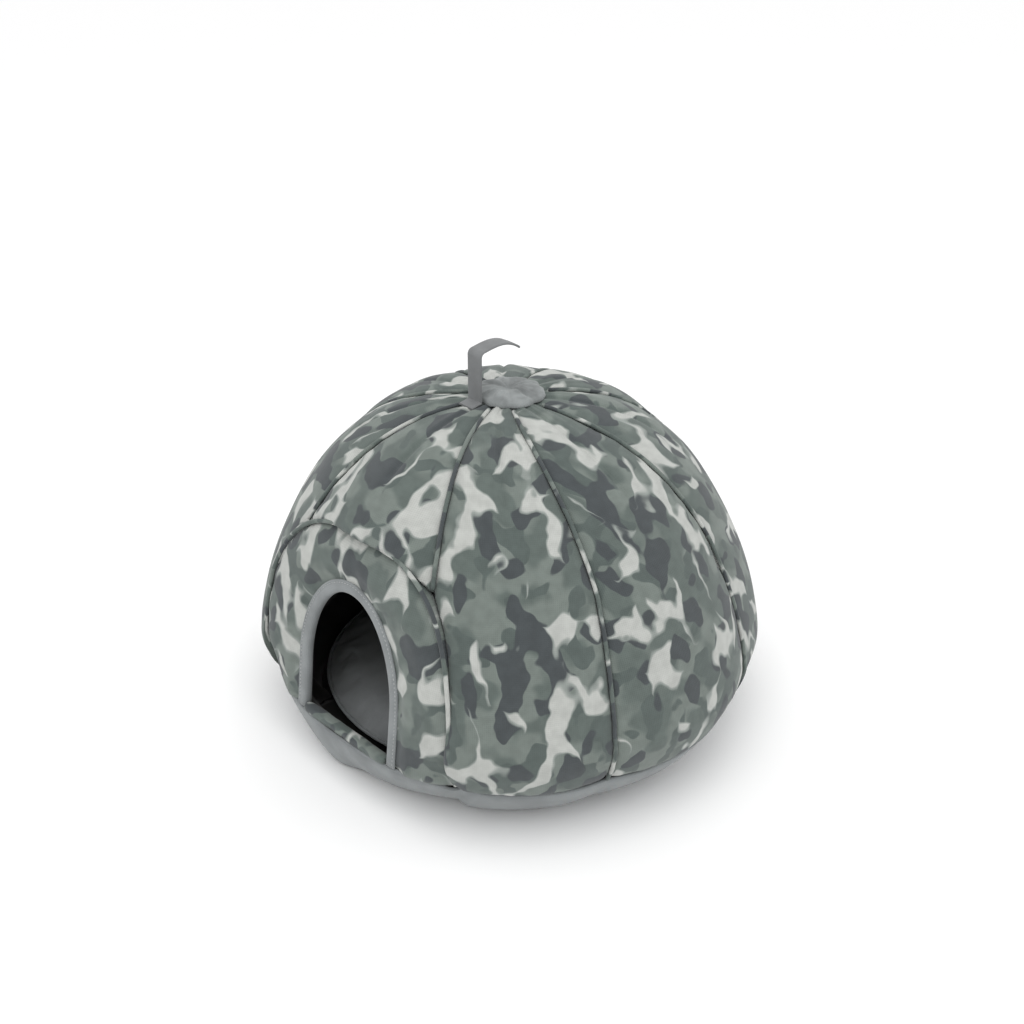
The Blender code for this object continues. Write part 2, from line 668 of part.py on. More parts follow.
def cushion():
    """A round pad: top and bottom cloth, a fibre core and a welt round the edge."""
    shares = (0.0, 0.45, 0.75, 0.92, 0.985)
    edge = 0.0028
    for name, sign in (("cushion_top", 1), ("cushion_bottom", -1)):
        outer = [(r, sign * h) for r, h in map(cushion_section, shares)]
        inner = [(max(0.0, r - 0.0014 * (r > 0)), sign * (h - CUSHION_CLOTH)) for r, h in map(cushion_section, shares)]
        ring = outer + [(outer[-1][0], sign * edge)] + [(inner[-1][0] - 0.001, sign * edge)] + inner[::-1]
        if sign < 0:
            ring = ring[::-1]
        turned(name, ring, ROUND, GREY if sign > 0 else LINER).location = (0, 0, CUSHION_MIDDLE)
    core = [(max(0.0, r - 0.004 * (r > 0)), h - CUSHION_CLOTH - 0.001) for r, h in map(cushion_section, shares[:-1])]
    whole = core + [(r, -h) for r, h in reversed(core)]
    turned("cushion_core", whole, ROUND, FOAM_WHITE).location = (0, 0, CUSHION_MIDDLE)
    welt_radius = CUSHION_RADIUS + 0.001
    ring = [around(360 * k / ROUND, welt_radius, CUSHION_MIDDLE) for k in range(ROUND)]
    cord("cushion_piping", ring, 0.0022, GREY, cyclic=True)


clear_scene()
PARTS = collection("pet_cave")
CUTTERS = collection("cutters")
CAMO = material("camouflage cloth", (0.13, 0.155, 0.14), 0.9)
GREY = material("grey cloth", (0.21, 0.225, 0.235), 0.85)
LINER = material("dark lining", (0.012, 0.011, 0.010), 0.95)
FOAM_WHITE = material("white foam", (0.7, 0.7, 0.66), 0.95)
GRIP = material("dotted anti-slip cloth", (0.05, 0.05, 0.055), 0.8)
WEBBING = material("grey webbing", (0.19, 0.19, 0.19), 0.8)

gores()
seam_pipings()
door_panel()
arch_piping()
door_binding()
threshold()
base()
base_piping()
crown()
strap()
cushion()
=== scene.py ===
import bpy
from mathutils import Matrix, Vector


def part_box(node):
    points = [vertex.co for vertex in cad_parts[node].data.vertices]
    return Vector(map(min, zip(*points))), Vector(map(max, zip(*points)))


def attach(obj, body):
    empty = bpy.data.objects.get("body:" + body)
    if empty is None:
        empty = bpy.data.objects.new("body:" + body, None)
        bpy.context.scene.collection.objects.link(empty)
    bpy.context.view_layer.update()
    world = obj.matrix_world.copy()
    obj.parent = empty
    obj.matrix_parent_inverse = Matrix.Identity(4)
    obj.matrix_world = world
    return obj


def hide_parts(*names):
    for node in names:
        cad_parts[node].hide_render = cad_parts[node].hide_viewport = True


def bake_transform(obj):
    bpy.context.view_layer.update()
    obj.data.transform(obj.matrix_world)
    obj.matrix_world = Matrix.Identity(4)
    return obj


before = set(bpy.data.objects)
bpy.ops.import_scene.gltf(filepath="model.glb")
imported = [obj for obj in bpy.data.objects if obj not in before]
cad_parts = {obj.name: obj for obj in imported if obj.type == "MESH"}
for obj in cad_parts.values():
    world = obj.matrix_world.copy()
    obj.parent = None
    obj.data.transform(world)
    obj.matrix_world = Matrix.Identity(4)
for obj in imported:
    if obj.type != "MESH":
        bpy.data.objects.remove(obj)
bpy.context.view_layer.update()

from math import acos, atan2, copysign, cos, degrees, exp, hypot, pi, radians, sin, sqrt

import bpy
import bmesh
from mathutils import Matrix, Vector, noise

scene = bpy.context.scene

# ------------------------------------------------------------------ camera, light and floor
# A three-quarter view from above on the doorway's right, under a plain white studio
# sky with one broad soft lamp, on a plain pale floor.
scene.view_settings.view_transform = "Standard"
TURN, LIFT, DISTANCE = radians(46.5), radians(30), 1.704
back = Vector((sin(TURN) * cos(LIFT), -cos(TURN) * cos(LIFT), sin(LIFT)))
camera = bpy.data.objects.new("camera", bpy.data.cameras.new("camera"))
camera.location = Vector((0, 0, 0.19)) + back * DISTANCE
camera.rotation_euler = back.to_track_quat("Z", "Y").to_euler()
camera.data.lens = 50
camera.data.shift_x = 0.0031
camera.data.shift_y = 0.0487
scene.collection.objects.link(camera)
scene.camera = camera

world = bpy.data.worlds.new("studio")
world.use_nodes = True
world.node_tree.nodes["Background"].inputs["Color"].default_value = (1, 1, 1, 1)
world.node_tree.nodes["Background"].inputs["Strength"].default_value = 1.03
scene.world = world


def soft_lamp(name, place, size, watts):
    lamp = bpy.data.objects.new(name, bpy.data.lights.new(name, "AREA"))
    lamp.data.size = size
    lamp.data.energy = watts
    lamp.location = place
    lamp.rotation_euler = (Vector(place) - Vector((0, 0, 0.2))).to_track_quat("Z", "Y").to_euler()
    scene.collection.objects.link(lamp)


soft_lamp("overhead lamp", (0.6, -0.5, 2.4), 1.6, 16)

floor_mesh = bpy.data.meshes.new("studio_floor")
floor_mesh.from_pydata([(-9, -9, 0), (9, -9, 0), (9, 9, 0), (-9, 9, 0)], [], [(0, 1, 2, 3)])
floor = bpy.data.objects.new("studio_floor", floor_mesh)
scene.collection.objects.link(floor)
pale = bpy.data.materials.new("pale floor")
pale.use_nodes = True
pale.node_tree.nodes["Principled BSDF"].inputs["Base Color"].default_value = (0.96, 0.96, 0.96, 1)
pale.node_tree.nodes["Principled BSDF"].inputs["Roughness"].default_value = 0.9
floor_mesh.materials.append(pale)


# ------------------------------------------------------------------ the eight gores
# Each gore is a long tapering pad: printed cloth outside, sheet foam, and a dark lining
# inside. They are sewn edge to edge, so each swells between its seams, puckers beside
# them, and is gathered under the crown's cap with a short dart down its middle.
def linear(red, green, blue):
    """A colour in the renderer's linear light, from 0 to 255 a channel."""
    return tuple(((c / 255 + 0.055) / 1.055) ** 2.4 if c > 10 else c / 3294.6 for c in (red, green, blue))


def node(tree, kind, **settings):
    made = tree.nodes.new(kind)
    for name, value in settings.items():
        if name[0].isupper():
            made.inputs[name.replace("_", " ")].default_value = value
        else:
            setattr(made, name, value)
    return made


def shader_group(name, inputs, outputs):
    """A node group with float inputs given as name: value, a Vector input first, and its outputs."""
    group = bpy.data.node_groups.new(name, "ShaderNodeTree")
    group.interface.new_socket("Vector", in_out="INPUT", socket_type="NodeSocketVector")
    for label, value in inputs.items():
        socket = group.interface.new_socket(label, in_out="INPUT", socket_type="NodeSocketFloat")
        socket.default_value = value
    for label, kind in outputs.items():
        group.interface.new_socket(label, in_out="OUTPUT", socket_type=kind)
    return group, group.nodes.new("NodeGroupInput"), group.nodes.new("NodeGroupOutput")


def edge_ramp(tree, source, low, high):
    """A mask that goes from 0 at low to 1 at high."""
    step = node(tree, "ShaderNodeMapRange", interpolation_type="SMOOTHSTEP", From_Min=low, From_Max=high)
    tree.links.new(source, step.inputs["Value"])
    return step.outputs["Result"]


def mixed(tree, mask, first, second):
    mix = node(tree, "ShaderNodeMix", data_type="RGBA")
    tree.links.new(mask, mix.inputs["Factor"])
    for socket, value in (("A", first), ("B", second)):
        target = [i for i in mix.inputs if i.name == socket and i.type == "RGBA"][0]
        if isinstance(value, tuple):
            target.default_value = (*value, 1)
        else:
            tree.links.new(value, target)
    return [o for o in mix.outputs if o.type == "RGBA"][0]


def camouflage_group():
    """Soft-edged brush camouflage: sage and slate blobs under branching pale strokes."""
    tree, start, end = shader_group("camouflage print", {"Shift": 0.0}, {"Color": "NodeSocketColor"})
    shift = node(tree, "ShaderNodeCombineXYZ")
    tree.links.new(start.outputs["Shift"], shift.inputs["X"])
    tree.links.new(start.outputs["Shift"], shift.inputs["Z"])
    moved = node(tree, "ShaderNodeVectorMath", operation="ADD")
    size = node(tree, "ShaderNodeVectorMath", operation="SCALE")
    size.inputs["Scale"].default_value = 1.28
    tree.links.new(start.outputs["Vector"], size.inputs[0])
    tree.links.new(size.outputs[0], moved.inputs[0])
    tree.links.new(shift.outputs[0], moved.inputs[1])
    fray = node(tree, "ShaderNodeTexNoise", Scale=34.0, Detail=1.0, Roughness=0.5)
    tree.links.new(moved.outputs[0], fray.inputs["Vector"])
    centred = node(tree, "ShaderNodeVectorMath", operation="SUBTRACT")
    centred.inputs[1].default_value = (0.5, 0.5, 0.5)
    tree.links.new(fray.outputs["Color"], centred.inputs[0])
    frayed = node(tree, "ShaderNodeVectorMath", operation="MULTIPLY_ADD")
    frayed.inputs[1].default_value = (0.016, 0.016, 0.016)
    tree.links.new(centred.outputs[0], frayed.inputs[0])
    tree.links.new(moved.outputs[0], frayed.inputs[2])

    def blobs(scale, offset, stretch=(1.0, 1.0, 1.0), detail=0.6):
        place = node(tree, "ShaderNodeVectorMath", operation="MULTIPLY_ADD")
        place.inputs[1].default_value = stretch
        place.inputs[2].default_value = (offset, offset * 0.7, offset * 1.3)
        tree.links.new(frayed.outputs[0], place.inputs[0])
        texture = node(tree, "ShaderNodeTexNoise", Scale=scale, Detail=detail, Roughness=0.4)
        tree.links.new(place.outputs[0], texture.inputs["Vector"])
        return texture.outputs["Fac"]

    sage, mid_sage, olive = linear(88, 97, 93), linear(108, 116, 111), linear(80, 89, 86)
    slate, pale, off_white = linear(66, 71, 73), linear(132, 138, 134), linear(172, 174, 170)
    ground = mixed(tree, edge_ramp(tree, blobs(21, 3.1), 0.46, 0.58), sage, mid_sage)
    shaded = mixed(tree, edge_ramp(tree, blobs(30, 9.4), 0.56, 0.60), ground, olive)
    spotted = mixed(tree, edge_ramp(tree, blobs(27, 7.7, (1, 0.8, 1)), 0.552, 0.582), shaded, slate)
    crest = node(tree, "ShaderNodeMath", operation="PINGPONG")
    crest.inputs[1].default_value = 0.5
    tree.links.new(blobs(17.5, 1.9, (1.0, 0.66, 1.0), detail=1.0), crest.inputs[0])
    keep = blobs(21.0, 5.3, (1.0, 0.72, 1.0))
    wide = node(tree, "ShaderNodeMath", operation="MULTIPLY_ADD")
    wide.inputs[1].default_value = 0.46
    tree.links.new(keep, wide.inputs[0])
    tree.links.new(crest.outputs[0], wide.inputs[2])
    pale_edge = mixed(tree, edge_ramp(tree, wide.outputs[0], 0.696, 0.716), spotted, pale)
    flecked = mixed(tree, edge_ramp(tree, wide.outputs[0], 0.714, 0.734), pale_edge, off_white)
    cloudy = node(tree, "ShaderNodeTexNoise", Scale=60.0, Detail=3.0)
    tree.links.new(moved.outputs[0], cloudy.inputs["Vector"])
    lift = node(tree, "ShaderNodeMath", operation="MULTIPLY_ADD")
    lift.inputs[1].default_value = 0.18
    lift.inputs[2].default_value = 0.91
    tree.links.new(edge_ramp(tree, cloudy.outputs["Fac"], 0.25, 0.75), lift.inputs[0])
    tone = node(tree, "ShaderNodeHueSaturation")
    tree.links.new(lift.outputs[0], tone.inputs["Value"])
    tree.links.new(flecked, tone.inputs["Color"])
    tree.links.new(tone.outputs[0], end.inputs["Color"])
    return tree


def weave_group():
    """A plain weave's height, and a mask of its thread tops that the cloth paints lighter as a painted
    highlight on the crests (with painted shade in the hollows, and random fibre tone mixed in by the fuzz),
    from a position on the cloth in metres.
    """
    outputs = {"Height": "NodeSocketFloat", "Tops": "NodeSocketFloat"}
    tree, start, end = shader_group("plain weave", {"Threads": 900.0, "Fuzz": 0.5}, outputs)
    waves = []
    for axis in ("X", "Y"):
        wave = node(tree, "ShaderNodeTexWave", bands_direction=axis, Distortion=1.2, Detail=1.0)
        tree.links.new(start.outputs["Vector"], wave.inputs["Vector"])
        share = node(tree, "ShaderNodeMath", operation="MULTIPLY")
        share.inputs[1].default_value = 0.16
        tree.links.new(start.outputs["Threads"], share.inputs[0])
        tree.links.new(share.outputs[0], wave.inputs["Scale"])
        waves.append(wave.outputs["Fac"])
    crossed = node(tree, "ShaderNodeMath", operation="MAXIMUM")
    tree.links.new(waves[0], crossed.inputs[0])
    tree.links.new(waves[1], crossed.inputs[1])
    fibres = node(tree, "ShaderNodeTexNoise", Scale=700.0, Detail=4.0, Roughness=0.7)
    tree.links.new(start.outputs["Vector"], fibres.inputs["Vector"])
    blend = node(tree, "ShaderNodeMix", data_type="FLOAT")
    tree.links.new(start.outputs["Fuzz"], blend.inputs["Factor"])
    tree.links.new(crossed.outputs[0], blend.inputs["A"])
    tree.links.new(fibres.outputs["Fac"], blend.inputs["B"])
    tree.links.new(blend.outputs["Result"], end.inputs["Height"])
    tree.links.new(edge_ramp(tree, blend.outputs["Result"], 0.2, 0.9), end.inputs["Tops"])
    return tree


CAMOUFLAGE = camouflage_group()
WEAVE = weave_group()


def cloth(name, colour, roughness, threads=900.0, fuzz=0.5, bump=0.25, shift=0.0, uv=True, contrast=0.12):
    """A woven cloth; colour None means the camouflage print. Sheen comes from its own socket."""
    made = bpy.data.materials.new(name)
    made.use_nodes = True
    tree = made.node_tree
    shader = tree.nodes["Principled BSDF"]
    shader.inputs["Roughness"].default_value = roughness
    shader.inputs["Sheen Weight"].default_value = 0.15
    shader.inputs["Sheen Roughness"].default_value = 0.6
    shader.inputs["Specular IOR Level"].default_value = 0.2
    if uv:
        place = node(tree, "ShaderNodeUVMap", uv_map="cloth").outputs["UV"]
    else:
        place = node(tree, "ShaderNodeTexCoord").outputs["Object"]
    if colour is None:
        print_group = node(tree, "ShaderNodeGroup", node_tree=CAMOUFLAGE)
        print_group.inputs["Shift"].default_value = shift
        tree.links.new(place, print_group.inputs["Vector"])
        base = print_group.outputs["Color"]
    else:
        mottle = node(tree, "ShaderNodeTexNoise", Scale=30.0, Detail=3.0)
        tree.links.new(place, mottle.inputs["Vector"])
        darker = tuple(c * (1 - contrast) for c in colour)
        lighter = tuple(c * (1 + contrast) for c in colour)
        base = mixed(tree, edge_ramp(tree, mottle.outputs["Fac"], 0.3, 0.7), darker, lighter)
    woven = node(tree, "ShaderNodeGroup", node_tree=WEAVE)
    woven.inputs["Threads"].default_value = threads
    woven.inputs["Fuzz"].default_value = fuzz
    tree.links.new(place, woven.inputs["Vector"])
    # Painted light: the thread tops are painted up to 7% lighter and the hollows up to 7% darker. This is a
    # painted highlight and painted shade on the weave, partly random fibre tone where the fuzz mixes it in.
    tone = node(tree, "ShaderNodeHueSaturation")
    lift = node(tree, "ShaderNodeMath", operation="MULTIPLY_ADD")
    lift.inputs[1].default_value = 0.14
    lift.inputs[2].default_value = 0.93
    tree.links.new(woven.outputs["Tops"], lift.inputs[0])
    tree.links.new(lift.outputs[0], tone.inputs["Value"])
    tree.links.new(base, tone.inputs["Color"])
    tree.links.new(tone.outputs[0], shader.inputs["Base Color"])
    relief = node(tree, "ShaderNodeBump", Strength=bump, Distance=0.0006)
    tree.links.new(woven.outputs["Height"], relief.inputs["Height"])
    tree.links.new(relief.outputs[0], shader.inputs["Normal"])
    return made


LINING_COLOUR = linear(33, 32, 30)
DARK = cloth("dark lining cloth", LINING_COLOUR, 0.95, fuzz=0.8)


WAIST_RADIUS, WAIST_HEIGHT, DOME_HEIGHT = 0.2945, 0.115, 0.408
FOOT_RADIUS, SEAM_HEIGHT, CROWN_HOLE = 0.754 * WAIST_RADIUS, 0.065, 0.030
PAD = 0.0186  # both cloths and the foam between them
CROWN_ROUND, CROWN_FLAT, TUCK = 0.72, 1.46, 1.7
SEAM_LEAN, SEAM_LEAN_RADIUS = 22.0, 0.24
SKIRT = 0.16  # the share of a gore that lies below the waist
GORE_SWELL = 0.007
CROWN_ANGLE = acos((CROWN_HOLE / WAIST_RADIUS) ** (1 / CROWN_ROUND))


def wall_radius(z):
    if z < WAIST_HEIGHT:
        return WAIST_RADIUS - (WAIST_RADIUS - FOOT_RADIUS) * ((WAIST_HEIGHT - z) / WAIST_HEIGHT) ** TUCK
    lift = min(1.0, (z - WAIST_HEIGHT) / (DOME_HEIGHT - WAIST_HEIGHT)) ** (1 / CROWN_FLAT)
    return WAIST_RADIUS * sqrt(1 - lift * lift) ** CROWN_ROUND


def meridian(share):
    """(radius, height) along a gore, share 0 at the base seam and 1 under the cap."""
    if share < SKIRT:
        z = SEAM_HEIGHT + (WAIST_HEIGHT - SEAM_HEIGHT) * share / SKIRT
        return wall_radius(z), z
    angle = CROWN_ANGLE * (share - SKIRT) / (1 - SKIRT)
    height = WAIST_HEIGHT + (DOME_HEIGHT - WAIST_HEIGHT) * sin(angle) ** CROWN_FLAT
    return WAIST_RADIUS * cos(angle) ** CROWN_ROUND, height


def seam_azimuth(nominal, radius):
    """Where a seam lies at a radius: near the crown the seams draw together."""
    lean = max(0.0, 1 - radius / SEAM_LEAN_RADIUS) ** 1.2
    return nominal - SEAM_LEAN * sin(radians(nominal)) * lean


def around(azimuth, radius, z):
    """A point at an azimuth from the doorway's middle, in degrees towards +X."""
    return Vector((radius * sin(radians(azimuth)), -radius * cos(radians(azimuth)), z))


def smoothstep(low, high, x):
    share = min(1.0, max(0.0, (x - low) / (high - low)))
    return share * share * (3 - 2 * share)


def crumple(x, y, z=0.0):
    """Smooth creasing from -1 to 1, the same each time."""
    return noise.noise(Vector((x, y, z)))


PANEL_HALF, PANEL_SPRING, PANEL_RISE = 0.547 * WAIST_RADIUS, 0.100, 0.206
PANEL_FRONT, PANEL_LEAN, ARCH_POWER = 0.894 * WAIST_RADIUS, 0.12, 2.6
RIM = 34.0


def arch_distance(x, z, half, spring, rise):
    """Distance outside an arch's outline, negative inside it."""
    if z < spring:
        return abs(x) - half
    a, b = abs(x) / half, (z - spring) / rise
    reach = max(1e-6, (a**ARCH_POWER + b**ARCH_POWER) ** (1 / ARCH_POWER))
    slope = hypot((a / reach) ** (ARCH_POWER - 1) / half, (b / reach) ** (ARCH_POWER - 1) / rise)
    return (reach - 1) / max(1e-6, slope)


def sewn(name, bm, *finishes):
    """Makes a bmesh a piece in the scene, with its cloths in order."""
    data = bpy.data.meshes.new(name)
    bm.to_mesh(data)
    bm.free()
    for finish in finishes:
        data.materials.append(finish)
    piece = bpy.data.objects.new(name, data)
    scene.collection.objects.link(piece)
    return piece


def grid_pad(name, columns, rows, outer, inner, cloth_place, finishes):
    """A closed pad from two faces, joined round the edge; the outer one has the first finish."""
    bm = bmesh.new()
    cloth_uv = bm.loops.layers.uv.new("cloth")
    faces = []
    for side in (outer, inner):
        faces.append(
            [[bm.verts.new(side(i / columns, j / rows)) for j in range(rows + 1)] for i in range(columns + 1)]
        )
    flat = {}
    for layer in faces:
        for i, line in enumerate(layer):
            for j, vertex in enumerate(line):
                flat[vertex] = cloth_place(i / columns, j / rows)

    def face(corners, finish):
        made = bm.faces.new(corners)
        made.material_index = finish
        made.smooth = True
        for loop in made.loops:
            loop[cloth_uv].uv = flat[loop.vert]

    top, under = faces
    for i in range(columns):
        for j in range(rows):
            face((top[i][j], top[i + 1][j], top[i + 1][j + 1], top[i][j + 1]), 0)
            face((under[i][j], under[i][j + 1], under[i + 1][j + 1], under[i + 1][j]), 1)
    rim = [(i, 0) for i in range(columns)] + [(columns, j) for j in range(rows)]
    rim += [(i, rows) for i in range(columns, 0, -1)] + [(0, j) for j in range(rows, 0, -1)]
    for (a, b), (c, d) in zip(rim, rim[1:] + rim[:1]):
        face((top[a][b], under[a][b], under[c][d], top[c][d]), 0)
    bmesh.ops.recalc_face_normals(bm, faces=bm.faces)
    return sewn(name, bm, *finishes)


SEAMS = (27.0, 69.0, 114.0, 159.0, 201.0, 246.0, 291.0, 333.0)
GORE_ROWS, GORE_COLUMNS = 104, 44
gore_length = [0.0]
for row in range(GORE_ROWS):
    (r0, z0), (r1, z1) = meridian(row / GORE_ROWS), meridian((row + 1) / GORE_ROWS)
    gore_length.append(gore_length[-1] + hypot(r1 - r0, z1 - z0))


def puffed_by(across, radius):
    """How far the foam pushes the cloth out, from 0 at one seam to 1 at the next."""
    return GORE_SWELL * min(1.0, radius / (0.7 * WAIST_RADIUS)) * (1 - abs(2 * across - 1) ** 2.4)


def gore_point(index, u, share, inside):
    """A point of a gore's outer face, or of its lining."""
    radius, z = meridian(share)
    r1, z1 = meridian(min(1.0, share + 0.004))
    r0, z0 = meridian(max(0.0, share - 0.004))
    tilt = Vector((z1 - z0, r0 - r1)).normalized()
    low, high = SEAMS[index], SEAMS[(index + 1) % 8] + (360 if index == 7 else 0)
    low, high = seam_azimuth(low, radius), seam_azimuth(high, radius)
    width = radians(high - low) * radius
    trim = 0.0004 / width
    azimuth = low + (high - low) * (trim + u * (1 - 2 * trim))
    edge = min(u, 1 - u) * width
    length = gore_length[round(share * GORE_ROWS)]
    side = index * 7.3 + (0.0 if u < 0.5 else 3.1)
    swell = puffed_by(u, radius)
    if inside:
        swell += -PAD + 0.0035 * exp(-edge / 0.010) + 0.002 * exp(-length / 0.01)
        swell += 0.0012 * crumple(azimuth / 9, length * 30, side) * (1 - exp(-edge / 0.01))
    else:
        swell -= 0.0030 * exp(-edge / 0.0035) + 0.0030 * exp(-length / 0.0035)
        tight = exp(-edge / 0.016)
        swell += 0.0016 * tight * crumple(length * 55, side, 0.3)
        swell += 0.0008 * tight * crumple(length * 120, side, 4.0)
        swell += 0.0013 * exp(-length / 0.014) * crumple(azimuth * 0.5, side, 9.0)
        swell += 0.0018 * crumple(azimuth / 16, length * 11, 2.0)
        dart = (u - 0.5) * width
        swell -= 0.0030 * exp(-((dart / 0.0035) ** 2)) * smoothstep(0.66, 0.78, share)
        gather = smoothstep(0.80, 0.98, share)
        swell += 0.0013 * gather * crumple(azimuth / 5.0, 3.0 * share, 6.0)
        spot = around(azimuth, radius + swell * tilt.x, z + swell * tilt.y)
        if spot.y < -0.1:
            past = arch_distance(spot.x, spot.z, PANEL_HALF, PANEL_SPRING, PANEL_RISE)
            swell -= 0.0035 * exp(-max(0.0, past - 0.002) / 0.004)
            swell += 0.0012 * exp(-max(0.0, past) / 0.016) * crumple(spot.x * 60, spot.z * 60, 1.0)
    return around(azimuth, radius + swell * tilt.x, z + swell * tilt.y)


JAMB_STEPS = 8  # points up each straight side of an arch


def arch_points(half, spring, rise, foot_half, foot_z, grow, steps, power=2.0):
    """(x, z) along an arch, from its right foot over the top to its left foot."""
    points = []
    for k in range(JAMB_STEPS):
        share = k / JAMB_STEPS
        points.append((foot_half + grow + (half - foot_half) * share, foot_z + (spring - foot_z) * share))
    for k in range(steps + 1):
        across, up = cos(pi * k / steps), sin(pi * k / steps)
        reach = copysign(abs(across) ** (2 / power), across)
        points.append(((half + grow) * reach, spring + (rise + grow) * max(0.0, up) ** (2 / power)))
    return points + [(-x, z) for x, z in reversed(points[:JAMB_STEPS])]


def panel_foot_half():
    return wall_radius(SEAM_HEIGHT) * sin(radians(RIM))


def panel_arch(foot_z, grow, steps):
    """The doorway panel's rim, grown outwards."""
    foot = panel_foot_half()
    return arch_points(PANEL_HALF, PANEL_SPRING, PANEL_RISE, foot, foot_z, grow, steps, ARCH_POWER)


def cutter_prism(name, outline):
    """An upright prism through the front wall, to cut the gores along the panel's rim."""
    bm = bmesh.new()
    front = [bm.verts.new((x, -0.45, z)) for x, z in outline]
    rear = [bm.verts.new((x, -0.10, z)) for x, z in outline]
    bm.faces.new(front)
    bm.faces.new(rear[::-1])
    for k in range(len(outline)):
        following = (k + 1) % len(outline)
        bm.faces.new((front[following], front[k], rear[k], rear[following]))
    bmesh.ops.recalc_face_normals(bm, faces=bm.faces)
    return sewn(name, bm)


def apply_modifiers(piece):
    bpy.ops.object.select_all(action="DESELECT")
    bpy.context.view_layer.objects.active = piece
    piece.select_set(True)
    for modifier in list(piece.modifiers):
        bpy.ops.object.modifier_apply(modifier=modifier.name)
    piece.select_set(False)


panel_opening = cutter_prism("panel_opening", panel_arch(0.03, 0.0012, 60))
GORES = ("front_right", "right", "rear_right", "rear", "rear_left", "left", "front_left", "front")
for index, place in enumerate(GORES):
    def cloth_place(u, share, index=index):
        radius = meridian(share)[0]
        spread = radians(45) * radius
        return ((u - 0.5) * spread + 0.9 * index, gore_length[round(share * GORE_ROWS)])

    pad = grid_pad(
        f"{place}_gore_pad",
        GORE_COLUMNS,
        GORE_ROWS,
        lambda u, v, index=index: gore_point(index, u, v, False),
        lambda u, v, index=index: gore_point(index, u, v, True),
        cloth_place,
        (cloth(f"camouflage cloth, {place} gore", None, 0.9, shift=2.7 * index), DARK),
    )
    if "front" in place:
        cut = pad.modifiers.new("panel opening", "BOOLEAN")
        cut.object = panel_opening
        cut.operation = "DIFFERENCE"
        apply_modifiers(pad)
    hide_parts(f"{place}_cover", f"{place}_foam", f"{place}_lining")
    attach(pad, "shell")
bpy.data.objects.remove(panel_opening)


# ------------------------------------------------------------------ the welt in every seam
# A cord wrapped in the printed cloth is caught in each seam between two gores, and another
# runs round the doorway panel's rim.
CAMO_CORD = cloth("camouflage cord cloth", None, 0.9, uv=False, shift=4.4)


def cord_mesh(name, points, radius, finish, cyclic=False, around_count=10):
    """A tube along points, with its length and girth as its cloth UV."""
    data = bpy.data.curves.new(name, "CURVE")
    data.dimensions = "3D"
    data.bevel_depth = radius
    data.bevel_resolution = (around_count - 4) // 2
    data.use_fill_caps = not cyclic
    spline = data.splines.new("POLY")
    spline.points.add(len(points) - 1)
    for corner, spot in zip(spline.points, points):
        corner.co = (*spot, 1.0)
    spline.use_cyclic_u = cyclic
    curve = bpy.data.objects.new(name, data)
    scene.collection.objects.link(curve)
    graph = bpy.context.evaluated_depsgraph_get()
    mesh = bpy.data.meshes.new_from_object(curve.evaluated_get(graph))
    bpy.data.objects.remove(curve)
    bm = bmesh.new()
    bm.from_mesh(mesh)
    bmesh.ops.remove_doubles(bm, verts=bm.verts, dist=1e-6)
    bmesh.ops.recalc_face_normals(bm, faces=bm.faces)
    for made in bm.faces:
        made.smooth = True
    bm.to_mesh(mesh)
    bm.free()
    mesh.materials.clear()
    mesh.materials.append(finish)
    piece = bpy.data.objects.new(name, mesh)
    scene.collection.objects.link(piece)
    return piece


for index, after in enumerate(GORES):
    before = GORES[index - 1]
    points = []
    for row in range(GORE_ROWS + 1):
        radius, z = meridian(row / GORE_ROWS)
        if row == 0:
            z = SEAM_HEIGHT + 0.002
            radius = wall_radius(z)
        if radius < 0.040:
            break
        wobble = 0.0005 * crumple(row * 0.21, index * 5.0, 1.0)
        azimuth = seam_azimuth(SEAMS[index], radius) + degrees(wobble / radius)
        spot = around(azimuth, radius + 0.0007 + 0.0004 * crumple(row * 0.17, index, 8.0), z)
        if "front" in (before, after) and spot.y < -0.1:
            if arch_distance(spot.x, spot.z, PANEL_HALF, PANEL_SPRING, PANEL_RISE) < 0.0045:
                continue
        points.append(spot)
    welt = cord_mesh(f"welt_{before}_to_{after}", points, 0.0024, CAMO_CORD)
    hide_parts(f"piping_{before}_to_{after}")
    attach(welt, "shell")


def panel_half(z):
    """The panel's half width at a height, narrowing to the base and over the arch."""
    if z < PANEL_SPRING:
        foot = panel_foot_half()
        return foot + (PANEL_HALF - foot) * (z - SEAM_HEIGHT) / (PANEL_SPRING - SEAM_HEIGHT)
    return PANEL_HALF * max(0.0, 1 - ((z - PANEL_SPRING) / PANEL_RISE) ** ARCH_POWER) ** (1 / ARCH_POWER)


def panel_face_y(x, z):
    """The doorway panel's face: flat, leaning back, and rolled back to the dome at its rim."""
    rise = max(0.0, z - PANEL_SPRING) / PANEL_RISE
    across = abs(x) / (PANEL_HALF if rise > 0 else panel_half(z))
    share = (across**ARCH_POWER + rise**ARCH_POWER) ** (1 / ARCH_POWER)
    roll = (0.004 + 0.006 * smoothstep(0.42, 1.0, rise)) * smoothstep(0.82, 1.0, share)
    past = min(1.0, max(0.0, abs(x) - 0.090) / (panel_half(SEAM_HEIGHT) - 0.090))
    foot = smoothstep(PANEL_SPRING + 0.03, SEAM_HEIGHT, z)
    return -(PANEL_FRONT - PANEL_LEAN * z) + roll + 0.0225 * foot * past**1.5


points = []
for x, z in panel_arch(SEAM_HEIGHT + 0.004, 0.0022, 120):
    rim = panel_face_y(copysign(min(abs(x), PANEL_HALF), x), z)
    points.append((x, rim + 0.0006 + 0.0006 * crumple(x * 40, z * 40, 3.0), z))
arch_welt = cord_mesh("arch_welt", points, 0.0026, CAMO_CORD)
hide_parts("arch_piping")
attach(arch_welt, "shell")


